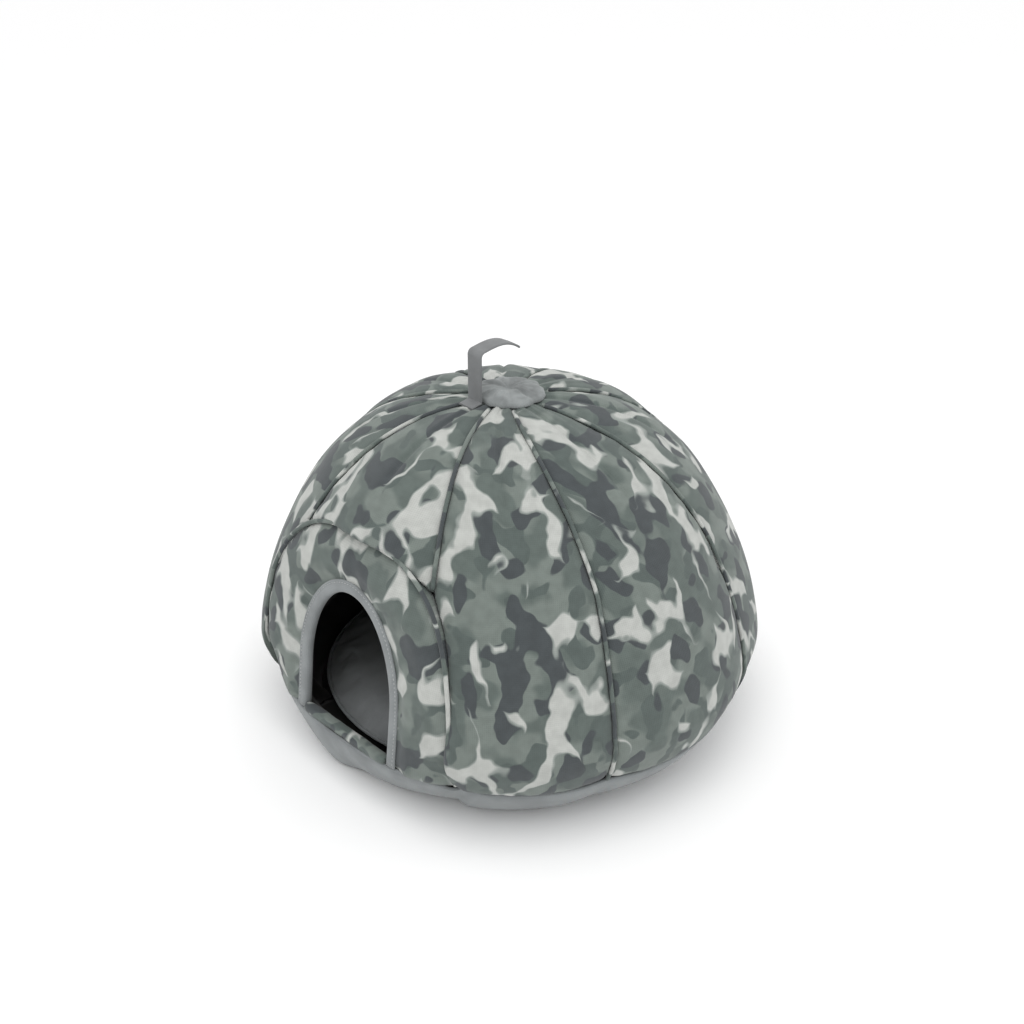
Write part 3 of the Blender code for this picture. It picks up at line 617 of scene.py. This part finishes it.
# ------------------------------------------------------------------ the doorway panel
# The arched front is one padded panel of the same cloths, sewn into the dome at its rim and
# bound at the doorway's edge; it is stiffer and flatter than the gores.
DOOR_HALF, DOOR_SPRING, DOOR_RISE = 0.0725, 0.130, 0.111
ALONG = 150
INWARD = Vector((0, cos(atan2(PANEL_LEAN, 1.0)), -sin(atan2(PANEL_LEAN, 1.0))))


def door_arch(foot_z, grow, steps):
    """The doorway's edge, grown outwards."""
    return arch_points(DOOR_HALF, DOOR_SPRING, DOOR_RISE, DOOR_HALF, foot_z, grow, steps)


def on_panel(x, z):
    """A point of the panel's flat plane."""
    return Vector((x, -(PANEL_FRONT - PANEL_LEAN * z), z))


door_edge = door_arch(SEAM_HEIGHT + 0.001, 0.003, ALONG - 2 * JAMB_STEPS)
rim_edge = panel_arch(SEAM_HEIGHT + 0.001, -0.0006, ALONG - 2 * JAMB_STEPS)


def panel_point(u, v, inside):
    (x0, z0), (x1, z1) = door_edge[round(u * ALONG)], rim_edge[round(u * ALONG)]
    x, z = x0 + (x1 - x0) * v, z0 + (z1 - z0) * v
    rim_gap = hypot(x1 - x, z1 - z)
    door_gap = hypot(x - x0, z - z0)
    foot = z - SEAM_HEIGHT
    full = smoothstep(0.012, 0.034, door_gap)
    puff = 0.0050 * (1 - exp(-rim_gap / 0.014)) * full
    if inside:
        depth = 0.0060 + (PAD - 0.0060) * full - 0.004 * exp(-rim_gap / 0.010) * full
    else:
        puff -= 0.0030 * exp(-rim_gap / 0.0035) + 0.003 * exp(-foot / 0.0035)
        puff += 0.0016 * exp(-rim_gap / 0.020) * crumple(x * 55, z * 55, 5.0)
        puff += 0.0022 * exp(-abs(door_gap - 0.020) / 0.010) * crumple(x * 62, z * 62, 2.0)
        puff += 0.0014 * exp(-foot / 0.014) * crumple(x * 60, 1.0, 2.0)
        puff += 0.0020 * crumple(x * 16, z * 16, 7.0) * full
        puff += 0.0012 * crumple(x * 34, z * 34, 3.0) * full
        depth = -puff
    return Vector((x, panel_face_y(x, z), z)) + INWARD * depth


door_panel = grid_pad(
    "door_panel_pad",
    ALONG,
    36,
    lambda u, v: panel_point(u, v, False),
    lambda u, v: panel_point(u, v, True),
    lambda u, v: (panel_point(u, v, False).x, panel_point(u, v, False).z),
    (cloth("camouflage cloth, doorway panel", None, 0.9, shift=31.3), DARK),
)
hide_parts("door_panel_cover", "door_panel_foam", "door_panel_lining")
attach(door_panel, "shell")


# ------------------------------------------------------------------ the doorway's binding
# A wide grey tape is folded over the raw edge of the doorway, front to back, and sewn
# through with one row of stitches near its outer edge.
GREY = cloth("grey trim cloth", linear(127, 131, 132), 0.85)
JAMB = 0.0061


def swept_arch(name, profile, along, finish, foot_z):
    """Sweeps a closed profile of (distance from the doorway, depth) round the arch."""
    bm = bmesh.new()
    cloth_uv = bm.loops.layers.uv.new("cloth")
    rings, flat = [], {}
    lines = [door_arch(foot_z, n, along - 2 * JAMB_STEPS) for n, _ in profile]
    girth = [0.0]
    for (a, b), (c, d) in zip(profile, profile[1:]):
        girth.append(girth[-1] + hypot(c - a, d - b))
    length = 0.0
    for k in range(along + 1):
        ring = []
        if k:
            length += hypot(lines[0][k][0] - lines[0][k - 1][0], lines[0][k][1] - lines[0][k - 1][1])
        for j, (n, depth) in enumerate(profile):
            x, z = lines[j][k]
            loose = 0.0005 * crumple(x * 90, z * 90, j * 0.15) if n > 0.004 else 0.0
            place = on_panel(x, z) + INWARD * (depth - copysign(loose, 0.01 - depth))
            vertex = bm.verts.new(place)
            flat[vertex] = (length, girth[j])
            ring.append(vertex)
        rings.append(ring)
    count = len(profile)
    for low, high in zip(rings, rings[1:]):
        for j in range(count):
            m = (j + 1) % count
            bm.faces.new((low[j], low[m], high[m], high[j]))
    bm.faces.new(rings[0])
    bm.faces.new(rings[-1][::-1])
    bmesh.ops.recalc_face_normals(bm, faces=bm.faces)
    for made in bm.faces:
        made.smooth = len(made.verts) == 4
        for loop in made.loops:
            loop[cloth_uv].uv = flat[loop.vert]
    return sewn(name, bm, finish)


def binding_profile():
    front = [(0.0150, 0.0004), (0.0154, -0.0008), (0.0148, -0.0018), (0.0134, -0.0022), (0.0120, -0.0015)]
    front += [(0.0100, -0.0022), (0.0075, -0.0026), (0.0045, -0.0024), (0.0022, -0.0018), (0.0006, -0.0004)]
    side = [(0.0, 0.0014), (-0.0002, JAMB / 2), (0.0, JAMB - 0.0014)]
    rear = [(n, JAMB - d) for n, d in reversed(front)]
    channel = [(0.0045, JAMB - 0.001), (0.0028, JAMB - 0.002), (0.0028, 0.002), (0.0045, 0.001)]
    return front + side + rear + channel


binding = swept_arch("doorway_binding", binding_profile(), 150, GREY, SEAM_HEIGHT + 0.001)
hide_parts("door_binding")
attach(binding, "shell")


def stitch_row(name, spots, finish, thickness=0.0005, share=0.62):
    """Short sunk thread loops laid along spots, each one from a point towards the next."""
    bm = bmesh.new()
    for first, second in zip(spots, spots[1:]):
        run = (second - first) * share
        turn = run.to_track_quat("Z", "Y").to_matrix().to_4x4()
        made = bmesh.ops.create_uvsphere(bm, u_segments=6, v_segments=4, radius=1.0)
        size = Matrix.Diagonal((thickness, thickness, run.length / 2, 1))
        bmesh.ops.transform(bm, matrix=Matrix.Translation(first + run / 2) @ turn @ size, verts=made["verts"])
    for face in bm.faces:
        face.smooth = True
    return sewn(name, bm, finish)


def spaced(points, step):
    """Points at equal steps along a line of points."""
    kept, travelled = [points[0]], 0.0
    for first, second in zip(points, points[1:]):
        span = (second - first).length
        while travelled + span >= step:
            first = first.lerp(second, (step - travelled) / span)
            kept.append(first)
            span = (second - first).length
            travelled = 0.0
        travelled += span
    return kept


THREAD = cloth("grey sewing thread", linear(168, 171, 171), 0.7, threads=3000.0, uv=False)
line = [on_panel(x, z) - INWARD * 0.0019 for x, z in door_arch(SEAM_HEIGHT + 0.004, 0.0120, 160)]
binding_stitches = stitch_row("doorway_binding_stitches", spaced(line, 0.0048), THREAD)
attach(binding_stitches, "shell")


# ------------------------------------------------------------------ the base
# A padded grey band goes round the foot of the dome and stands out under the doorway as a
# step. Inside it lies a foam floor, lined on top, with dotted anti-slip cloth underneath.
FLOOR_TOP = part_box("floor_lining")[1][2]
BAND_TOP = SEAM_HEIGHT - 0.004


def base_face(azimuth, z):
    """The base's outer face: flatter and fuller under the doorway, with a notch beside it."""
    radius = wall_radius(z)
    lift = z / SEAM_HEIGHT
    side = abs(azimuth)
    rim = RIM - 7.0 * (1 - lift)
    full = smoothstep(4.0, -12.0, azimuth)
    shoulder = 0.003 * lift - 0.006 * (1 - lift) * (1 - 3.5 * full)
    if side < RIM:
        corner = around(rim, radius + shoulder, z)
        flat_y = -(PANEL_FRONT - PANEL_LEAN * SEAM_HEIGHT + 0.008)
        flat_y *= (radius / wall_radius(SEAM_HEIGHT)) ** (0.6 - 0.33 * full)
        share = side / RIM
        spot = Vector((corner.x * share, flat_y + (corner.y - flat_y) * share**2.2, z))
    else:
        edges = (RIM, 69.0, 114.0, 159.0, 201.0)
        low = max(a for a in edges if a <= side)
        high = min(a for a in edges if a >= side)
        share = (side - low) / max(1e-6, high - low)
        past = side - RIM
        fall = shoulder * (1 - smoothstep(0.0, 3.0, past)) - 0.008 * exp(-(((past - 3.4) / 2.0) ** 2))
        swung = side - (RIM - rim) * (1 - smoothstep(0.0, 30.0, past))
        spot = around(swung, radius + fall + puffed_by(share, radius), z)
    return Vector((copysign(spot.x, azimuth), spot.y, z))


def inset(spot, distance):
    return spot - Vector((spot.x, spot.y, 0)).normalized() * distance


def ring_azimuths():
    """Azimuths round the base, closest together at the doorway panel's corners."""
    half = [k * 1.5 for k in range(20)] + [30 + k * 0.5 for k in range(30)]
    half += [45 + 1.5 * k for k in range(90)]
    return [-a for a in reversed(half[1:])] + half + [180.0]


RING = ring_azimuths()


def ring_pad(name, sections, finishes, split):
    """A closed ring swept round the base: sections(azimuth) gives its outline as (point, cloth) pairs."""
    bm = bmesh.new()
    cloth_uv = bm.loops.layers.uv.new("cloth")
    rings = [[(bm.verts.new(spot), uv) for spot, uv in sections(azimuth)] for azimuth in RING]
    count = len(rings[0])
    for low, high in zip(rings, rings[1:] + rings[:1]):
        for j in range(count):
            m = (j + 1) % count
            corners = (low[j], high[j], high[m], low[m])
            made = bm.faces.new([vertex for vertex, _ in corners])
            made.smooth = True
            made.material_index = 0 if j < split else 1
            for loop, (_, uv) in zip(made.loops, corners):
                loop[cloth_uv].uv = uv
    bmesh.ops.recalc_face_normals(bm, faces=bm.faces)
    return sewn(name, bm, *finishes)


def band_section(azimuth):
    outline = []
    levels = 14
    for k in range(levels + 1):
        share = k / levels
        z = 0.0008 + (BAND_TOP - 0.0008) * share
        puff = 0.0035 * sin(pi * share) ** 0.8 - 0.0025 * exp(-share * 12) - 0.0020 * exp(-(1 - share) * 14)
        puff += 0.0016 * exp(-(1 - share) * 5) * crumple(azimuth * 0.55, 2.0, 1.0)
        puff += 0.0012 * exp(-share * 5) * crumple(azimuth * 0.5, 8.0, 1.0)
        puff += 0.0016 * crumple(azimuth / 14, share * 2, 4.0)
        outline.append((inset(base_face(azimuth, z), -puff), (radians(azimuth) * 0.27, z)))
    for k in range(7):
        share = 1 - k / 6
        z = FLOOR_TOP + 0.0006 + (BAND_TOP - FLOOR_TOP - 0.0006) * share
        spot = inset(base_face(azimuth, z), PAD - 0.002 * sin(pi * share))
        outline.append((spot, (radians(azimuth) * 0.27, 0.12 - z)))
    low = inset(base_face(azimuth, 0.0008), 0.0030)
    outline.append((inset(base_face(azimuth, FLOOR_TOP), 0.0022), (0.0, 0.0)))
    outline.append((low, (0.0, 0.0)))
    return outline


band = ring_pad("base_band_pad", band_section, (GREY, DARK), 14)
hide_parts("base_band", "base_band_foam", "base_band_lining")
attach(band, "shell")

GREY_CORD = cloth("grey trim cord cloth", linear(116, 120, 121), 0.85, uv=False)
points = []
for azimuth in RING:
    spot = inset(base_face(azimuth, BAND_TOP), -0.0006 - 0.0005 * crumple(azimuth * 0.3, 6.0))
    points.append(spot + Vector((0, 0, 0.0021)))
base_welt = cord_mesh("base_welt", points, 0.0020, GREY_CORD, cyclic=True)
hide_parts("base_piping")
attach(base_welt, "shell")


def dotted_cloth():
    """Dark cloth with rows of small rubber dots, raised by bump."""
    made = cloth("dotted anti-slip cloth", linear(62, 63, 66), 0.8, uv=False)
    tree = made.node_tree
    shader = tree.nodes["Principled BSDF"]
    place = node(tree, "ShaderNodeTexCoord").outputs["Object"]
    dots = node(tree, "ShaderNodeTexVoronoi", Scale=110.0, Randomness=0.0)
    tree.links.new(place, dots.inputs["Vector"])
    mask = edge_ramp(tree, dots.outputs["Distance"], 0.26, 0.20)
    woven = shader.inputs["Base Color"].links[0].from_socket
    tree.links.new(mixed(tree, mask, woven, linear(38, 38, 40)), shader.inputs["Base Color"])
    relief = node(tree, "ShaderNodeBump", Strength=0.6, Distance=0.0012)
    tree.links.new(mask, relief.inputs["Height"])
    tree.links.new(shader.inputs["Normal"].links[0].from_socket, relief.inputs["Normal"])
    tree.links.new(relief.outputs[0], shader.inputs["Normal"])
    return made


def floor_section(azimuth):
    outline = []
    for k in range(13):
        out = 0.02 + 0.98 * (k / 12)
        edge = inset(base_face(azimuth, 0.0), 0.0060)
        outline.append((Vector((edge.x * out, edge.y * out, 0.0)), (0.0, 0.0)))
    outline.append((inset(base_face(azimuth, 0.002), 0.0045), (0.0, 0.0)))
    for k in range(13):
        share = 1 - k / 12
        out, z = 0.02 + 0.98 * share, FLOOR_TOP - 0.004 * share**6
        edge = inset(base_face(azimuth, z), 0.0045)
        spot = Vector((edge.x * out, edge.y * out, z))
        spot.z -= 0.0008 * abs(crumple(spot.x * 14, spot.y * 14, 3.0))
        outline.append((spot, (spot.x, spot.y)))
    return outline


floor_pad = ring_pad("floor_pad", floor_section, (dotted_cloth(), DARK), 13)
bm = bmesh.new()
bm.from_mesh(floor_pad.data)
bmesh.ops.holes_fill(bm, edges=[edge for edge in bm.edges if edge.is_boundary], sides=0)
inner_rim = [face for face in bm.faces if max(hypot(v.co.x, v.co.y) for v in face.verts) < 0.012]
bmesh.ops.delete(bm, geom=inner_rim, context="FACES_ONLY")
edges = [edge for edge in bm.edges if edge.is_boundary]
bmesh.ops.holes_fill(bm, edges=edges, sides=0)
bmesh.ops.recalc_face_normals(bm, faces=bm.faces)
bm.to_mesh(floor_pad.data)
bm.free()
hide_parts("base_bottom", "base_foam", "floor_lining")
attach(floor_pad, "shell")


# ------------------------------------------------------------------ the doorway's sill
# A short roll of the printed cloth covers the seam across the foot of the doorway.
sill_low, sill_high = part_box("threshold_roll")
sill_low = Vector((sill_low.x, sill_low.y - 0.0018, sill_low.z - 0.0040))
sill_high = Vector((sill_high.x, sill_low.y + 0.0135, sill_high.z - 0.0014))
sill_middle = (sill_low + sill_high) / 2
across, rounds = 60, 20


def sill_point(i, j):
    share = i / across
    angle = 2 * pi * j / rounds
    half = (sill_high - sill_low) / 2
    squeeze = 1 - 0.35 * exp(-min(share, 1 - share) * 30)
    x = sill_low.x + (sill_high.x - sill_low.x) * share
    dent = 1 + 0.10 * crumple(share * 9, cos(angle) * 1.2, sin(angle) * 1.2)
    y = sill_middle.y + half.y * squeeze * dent * copysign(abs(cos(angle)) ** 0.75, cos(angle))
    z = sill_middle.z + half.z * squeeze * dent * copysign(abs(sin(angle)) ** 0.75, sin(angle))
    return Vector((x, y, z))


bm = bmesh.new()
cloth_uv = bm.loops.layers.uv.new("cloth")
rings = [[bm.verts.new(sill_point(i, j)) for j in range(rounds)] for i in range(across + 1)]
for low, high in zip(rings, rings[1:]):
    for j in range(rounds):
        m = (j + 1) % rounds
        bm.faces.new((low[j], low[m], high[m], high[j]))
bm.faces.new(rings[0])
bm.faces.new(rings[-1][::-1])
bmesh.ops.recalc_face_normals(bm, faces=bm.faces)
for face in bm.faces:
    face.smooth = True
    for loop in face.loops:
        loop[cloth_uv].uv = (loop.vert.co.x, loop.vert.co.y + loop.vert.co.z)
sill = sewn("sill_roll", bm, cloth("camouflage cloth, sill", None, 0.9, shift=17.0))
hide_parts("threshold_roll")
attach(sill, "shell")


# ------------------------------------------------------------------ the crown
# A puffed disc of grey cloth, gathered at its edge, hides the gores' ends; a plug of foam
# fills the hole under it, and a dark disc closes the crown inside.
def round_pad(name, radius_of, profile, turns, finish, middle=(0, 0, 0)):
    """A closed round pad; profile is (share of the radius, height) from the top centre out and under."""
    bm = bmesh.new()
    cloth_uv = bm.loops.layers.uv.new("cloth")
    rings = []
    for share, height in profile:
        ring = []
        for k in range(turns):
            azimuth = 360 * k / turns
            place = radius_of(azimuth, share, height)
            ring.append(bm.verts.new(place + Vector(middle)))
            if share == 0:
                break
        rings.append(ring)
    for low, high in zip(rings, rings[1:]):
        for k in range(turns):
            m = (k + 1) % turns
            corners = [low[k % len(low)], high[k % len(high)], high[m % len(high)], low[m % len(low)]]
            kept = []
            for corner in corners:
                if corner not in kept:
                    kept.append(corner)
            if len(kept) > 2:
                bm.faces.new(kept)
    bmesh.ops.recalc_face_normals(bm, faces=bm.faces)
    for face in bm.faces:
        face.smooth = True
        for loop in face.loops:
            loop[cloth_uv].uv = (loop.vert.co.x, loop.vert.co.y)
    return sewn(name, bm, finish)


CAP_RADIUS = 0.0405


def cap_place(azimuth, share, height):
    across, along = cos(radians(azimuth)), sin(radians(azimuth))
    lobe = crumple(across * 1.5, along * 1.5, 1.0)
    pleat = sin(radians(azimuth) * 11 + 5.0 * lobe) * 0.5 + crumple(across * 5, along * 5, 4.0)
    radius = CAP_RADIUS * share * (1 + 0.12 * lobe * share**2 + 0.04 * pleat * share**3)
    lift = height
    if height > 0.0005:
        dome = share**1.2 * (1 - share**6)
        lift += 0.0030 * pleat * dome + 0.0028 * crumple(share * 2.4 * across, share * 2.4 * along, 7.0)
        lift += 0.0022 * lobe * dome - 0.0036 * exp(-((share / 0.22) ** 2))
        lift = max(lift, 0.0012)
    return around(azimuth, radius, lift)


CAP_CLOTH = cloth("grey cap cloth", linear(124, 128, 128), 0.85, contrast=0.38)
rows = [(k / 22, 0.0088 * sqrt(max(0.0, 1 - (k / 22) ** 2.2)) + 0.0006) for k in range(22)]
rows += [(1.0, 0.0002), (0.985, -0.0012), (0.9, -0.0012), (0.5, 0.0), (0.0, 0.0)]
cap = round_pad("crown_cap_puff", cap_place, rows, 120, CAP_CLOTH, (0, 0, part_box("crown_cap")[0][2]))
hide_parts("crown_cap")
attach(cap, "shell")

DARK_PLAIN = cloth("dark lining cloth, flat pieces", LINING_COLOUR, 0.95, fuzz=0.8, uv=False)
for name in ("crown_lining", "crown_plug"):
    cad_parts[name].material_slots[0].material = DARK_PLAIN


# ------------------------------------------------------------------ the strap
# One length of grey webbing is sewn flat to the crown in front of the cap, stands up, folds over and ends in
# a free tip. It is built as three pieces whose shape is bent at its foot and at its fold.
STRAP_HALF, STRAP_THICK, STRAP_X = 0.011, 0.0023, -0.007
foot_y, leg_low, fold_low = -0.0445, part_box("handle_leg")[0][2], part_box("handle_leg")[1][2] + 0.0015


WEBBING = cloth("grey webbing", linear(112, 114, 115), 0.75, threads=1300.0, fuzz=0.55, bump=0.4)


def ribbon(name, line, finish, start=0.0):
    """Webbing along a line of (y, z) points: thick in the middle, with rounded selvedges."""
    bm = bmesh.new()
    cloth_uv = bm.loops.layers.uv.new("cloth")
    across = 16
    rings, length = [], 0.0
    for k, (y, z) in enumerate(line):
        y0, z0 = line[max(0, k - 1)]
        y1, z1 = line[min(len(line) - 1, k + 1)]
        run = Vector((0, y1 - y0, z1 - z0)).normalized()
        face_out = Vector((1, 0, 0)).cross(run)
        if k:
            length += hypot(y - line[k - 1][0], z - line[k - 1][1])
        ring = []
        for side in (1, -1):
            for j in range(across + 1):
                share = j / across if side > 0 else 1 - j / across
                x = STRAP_X + (2 * share - 1) * STRAP_HALF
                edge = min(share, 1 - share) * 2 * STRAP_HALF
                half = STRAP_THICK / 2 * (1 - exp(-(edge + 0.0003) / 0.0005))
                half += 0.0002 * exp(-(((edge - 0.0015) / 0.0008) ** 2))
                bow = 0.0006 * (1 - (2 * share - 1) ** 2)
                spot = Vector((x, y, z)) + face_out * (side * half + bow)
                ring.append((bm.verts.new(spot), (x + (0.05 if side < 0 else 0.0), start + length)))
        rings.append(ring)
    count = len(rings[0])
    for low, high in zip(rings, rings[1:]):
        for j in range(count):
            m = (j + 1) % count
            corners = (low[j], low[m], high[m], high[j])
            made = bm.faces.new([vertex for vertex, _ in corners])
            for loop, (_, uv) in zip(made.loops, corners):
                loop[cloth_uv].uv = uv
    ends = [bm.faces.new([vertex for vertex, _ in ring]) for ring in (rings[0], rings[-1][::-1])]
    bmesh.ops.recalc_face_normals(bm, faces=bm.faces)
    for made in bm.faces:
        made.smooth = len(made.verts) == 4
    for end in ends:
        for edge in end.edges:
            edge.smooth = False
    return sewn(name, bm, finish)


split_z = leg_low + 0.026
leg_line = [(foot_y, leg_low - 0.0015 + (split_z - leg_low + 0.0015) * k / 16) for k in range(17)]
strap_leg = ribbon("strap_foot_leg", leg_line, WEBBING)
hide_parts("handle_leg")
leg_start, leg_end = (STRAP_X, foot_y, leg_low - 0.001), (STRAP_X, foot_y, leg_low + 0.007)
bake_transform(strap_leg)
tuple(leg_start)
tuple(leg_end)

bend, reach, top_z = 0.006, 0.052, fold_low + 0.010
flap_line = [(foot_y, split_z + (fold_low - split_z) * k / 12) for k in range(12)]
for k in range(13):
    angle = pi / 2 * k / 12
    flap_line.append((foot_y + bend * (1 - cos(angle)), top_z - bend + bend * sin(angle)))
for k in range(1, 31):
    share = k / 30
    flap_line.append((foot_y + bend + reach * share, top_z + 0.0025 * sin(pi * share) - 0.008 * share**4))
strap_flap = ribbon("strap_fold_flap", flap_line, WEBBING, split_z - leg_low + 0.0015)
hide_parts("handle_flap")
fold_start, fold_end = (STRAP_X, foot_y, fold_low - 0.006), (STRAP_X, foot_y, fold_low + 0.004)
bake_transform(strap_flap)
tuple(fold_start)
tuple(fold_end)

tab_low, tab_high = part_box("handle_foot")
tab_line = [(tab_high.y + 0.003, leg_low + 0.0006)]
for k in range(1, 13):
    share = k / 12
    y = tab_high.y + 0.003 + (tab_low.y - tab_high.y - 0.003) * share
    tab_line.append((y, leg_low - 0.0008 - 0.0024 * share))
strap_tab = ribbon("strap_sewn_tab", tab_line[::-1], WEBBING)
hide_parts("handle_foot")
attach(strap_tab, "shell")


# ------------------------------------------------------------------ the cushion
# A loose round cushion fills the floor: grey plush on top, dark cloth below, fibre filled,
# with a welt in the seam round its edge.
cushion_low, cushion_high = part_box("cushion_piping")
CUSHION_RADIUS = cushion_high.x - 0.0030
cushion_middle = (cushion_low.z + cushion_high.z) / 2
thick_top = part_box("cushion_top")[1][2] - cushion_middle
PLUSH = cloth("grey plush", linear(122, 125, 126), 0.95, fuzz=0.95, bump=0.6, contrast=0.08, uv=False)


def cushion_place(azimuth, share, height):
    x, y = share * cos(radians(azimuth)), share * sin(radians(azimuth))
    edge = (1 - share) * CUSHION_RADIUS
    lift = height
    tight = exp(-edge / 0.018) * min(1.0, edge / 0.004)
    lift += copysign(0.0022, height) * tight * crumple(azimuth * 0.28, 1.0 if height > 0 else 5.0)
    if height > 0:
        lift -= 0.0045 * exp(-((share / 0.5) ** 2)) + 0.0022 * abs(crumple(x * 2.6, y * 2.6, 4.0))
    return around(azimuth, CUSHION_RADIUS * share, lift)


FLAT = 0.86  # it starts flatter when the filling will swell it


def cushion_rows(sign):
    steps = [0.0] + [0.06 * k for k in range(1, 12)] + [0.72 + 0.04 * k for k in range(5)]
    steps += [0.905, 0.925, 0.945, 0.96, 0.972, 0.982, 0.99, 0.996]
    return [(s, sign * thick_top * FLAT * (0.82 * (1 - s**4) ** 0.5 + 0.18 * (1 - s * s))) for s in steps]


def puffed(piece, voxel, pressure, cap):
    """Fills a sewn cover with the cloth solver: pressure swells it and no point goes past the cap."""
    bpy.ops.object.select_all(action="DESELECT")
    bpy.context.view_layer.objects.active = piece
    piece.select_set(True)
    piece.data.remesh_voxel_size = voxel
    bpy.ops.object.voxel_remesh()
    begun = [vertex.co.copy() for vertex in piece.data.vertices]
    solver = piece.modifiers.new("filling", "CLOTH")
    solver.settings.quality = 5
    solver.settings.use_pressure = True
    solver.settings.uniform_pressure_force = pressure
    solver.settings.effector_weights.gravity = 0
    solver.settings.bending_stiffness = 0.5
    for step in range(1, 21):
        scene.frame_set(step)
    bpy.ops.object.modifier_apply(modifier=solver.name)
    for vertex, start in zip(piece.data.vertices, begun):
        moved = vertex.co - start
        if moved.length > cap:
            vertex.co = start + moved * (cap / moved.length)
    scene.frame_set(1)
    finer = piece.modifiers.new("finer", "SUBSURF")
    finer.levels = finer.render_levels = 1
    apply_modifiers(piece)
    for polygon in piece.data.polygons:
        polygon.use_smooth = True


rows = cushion_rows(1) + [(1.0, 0.0)] + cushion_rows(-1)[::-1]
cushion = round_pad("cushion_pad", cushion_place, rows, 180, PLUSH, (0, 0, cushion_middle))
puffed(cushion, 0.006, 4, 0.012)
widest = max(hypot(vertex.co.x, vertex.co.y) for vertex in cushion.data.vertices)
highest = max(vertex.co.z for vertex in cushion.data.vertices) - cushion_middle
for vertex in cushion.data.vertices:
    lift = (vertex.co.z - cushion_middle) * thick_top / highest
    vertex.co.x *= CUSHION_RADIUS / widest
    vertex.co.y *= CUSHION_RADIUS / widest
    vertex.co.z = cushion_middle + lift
cushion.data.materials.append(DARK_PLAIN)
for polygon in cushion.data.polygons:
    polygon.material_index = 1 if polygon.center.z < cushion_middle else 0
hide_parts("cushion_top", "cushion_bottom", "cushion_core")
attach(cushion, "cushion")

points = []
for k in range(180):
    spot = around(2 * k, CUSHION_RADIUS + 0.0008 + 0.0005 * crumple(k * 0.23, 3.0), cushion_middle)
    points.append(spot + Vector((0, 0, 0.0006 * crumple(k * 0.19, 7.0))))
cushion_welt = cord_mesh("cushion_welt", points, 0.0022, GREY_CORD, cyclic=True)
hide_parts("cushion_piping")
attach(cushion_welt, "cushion")
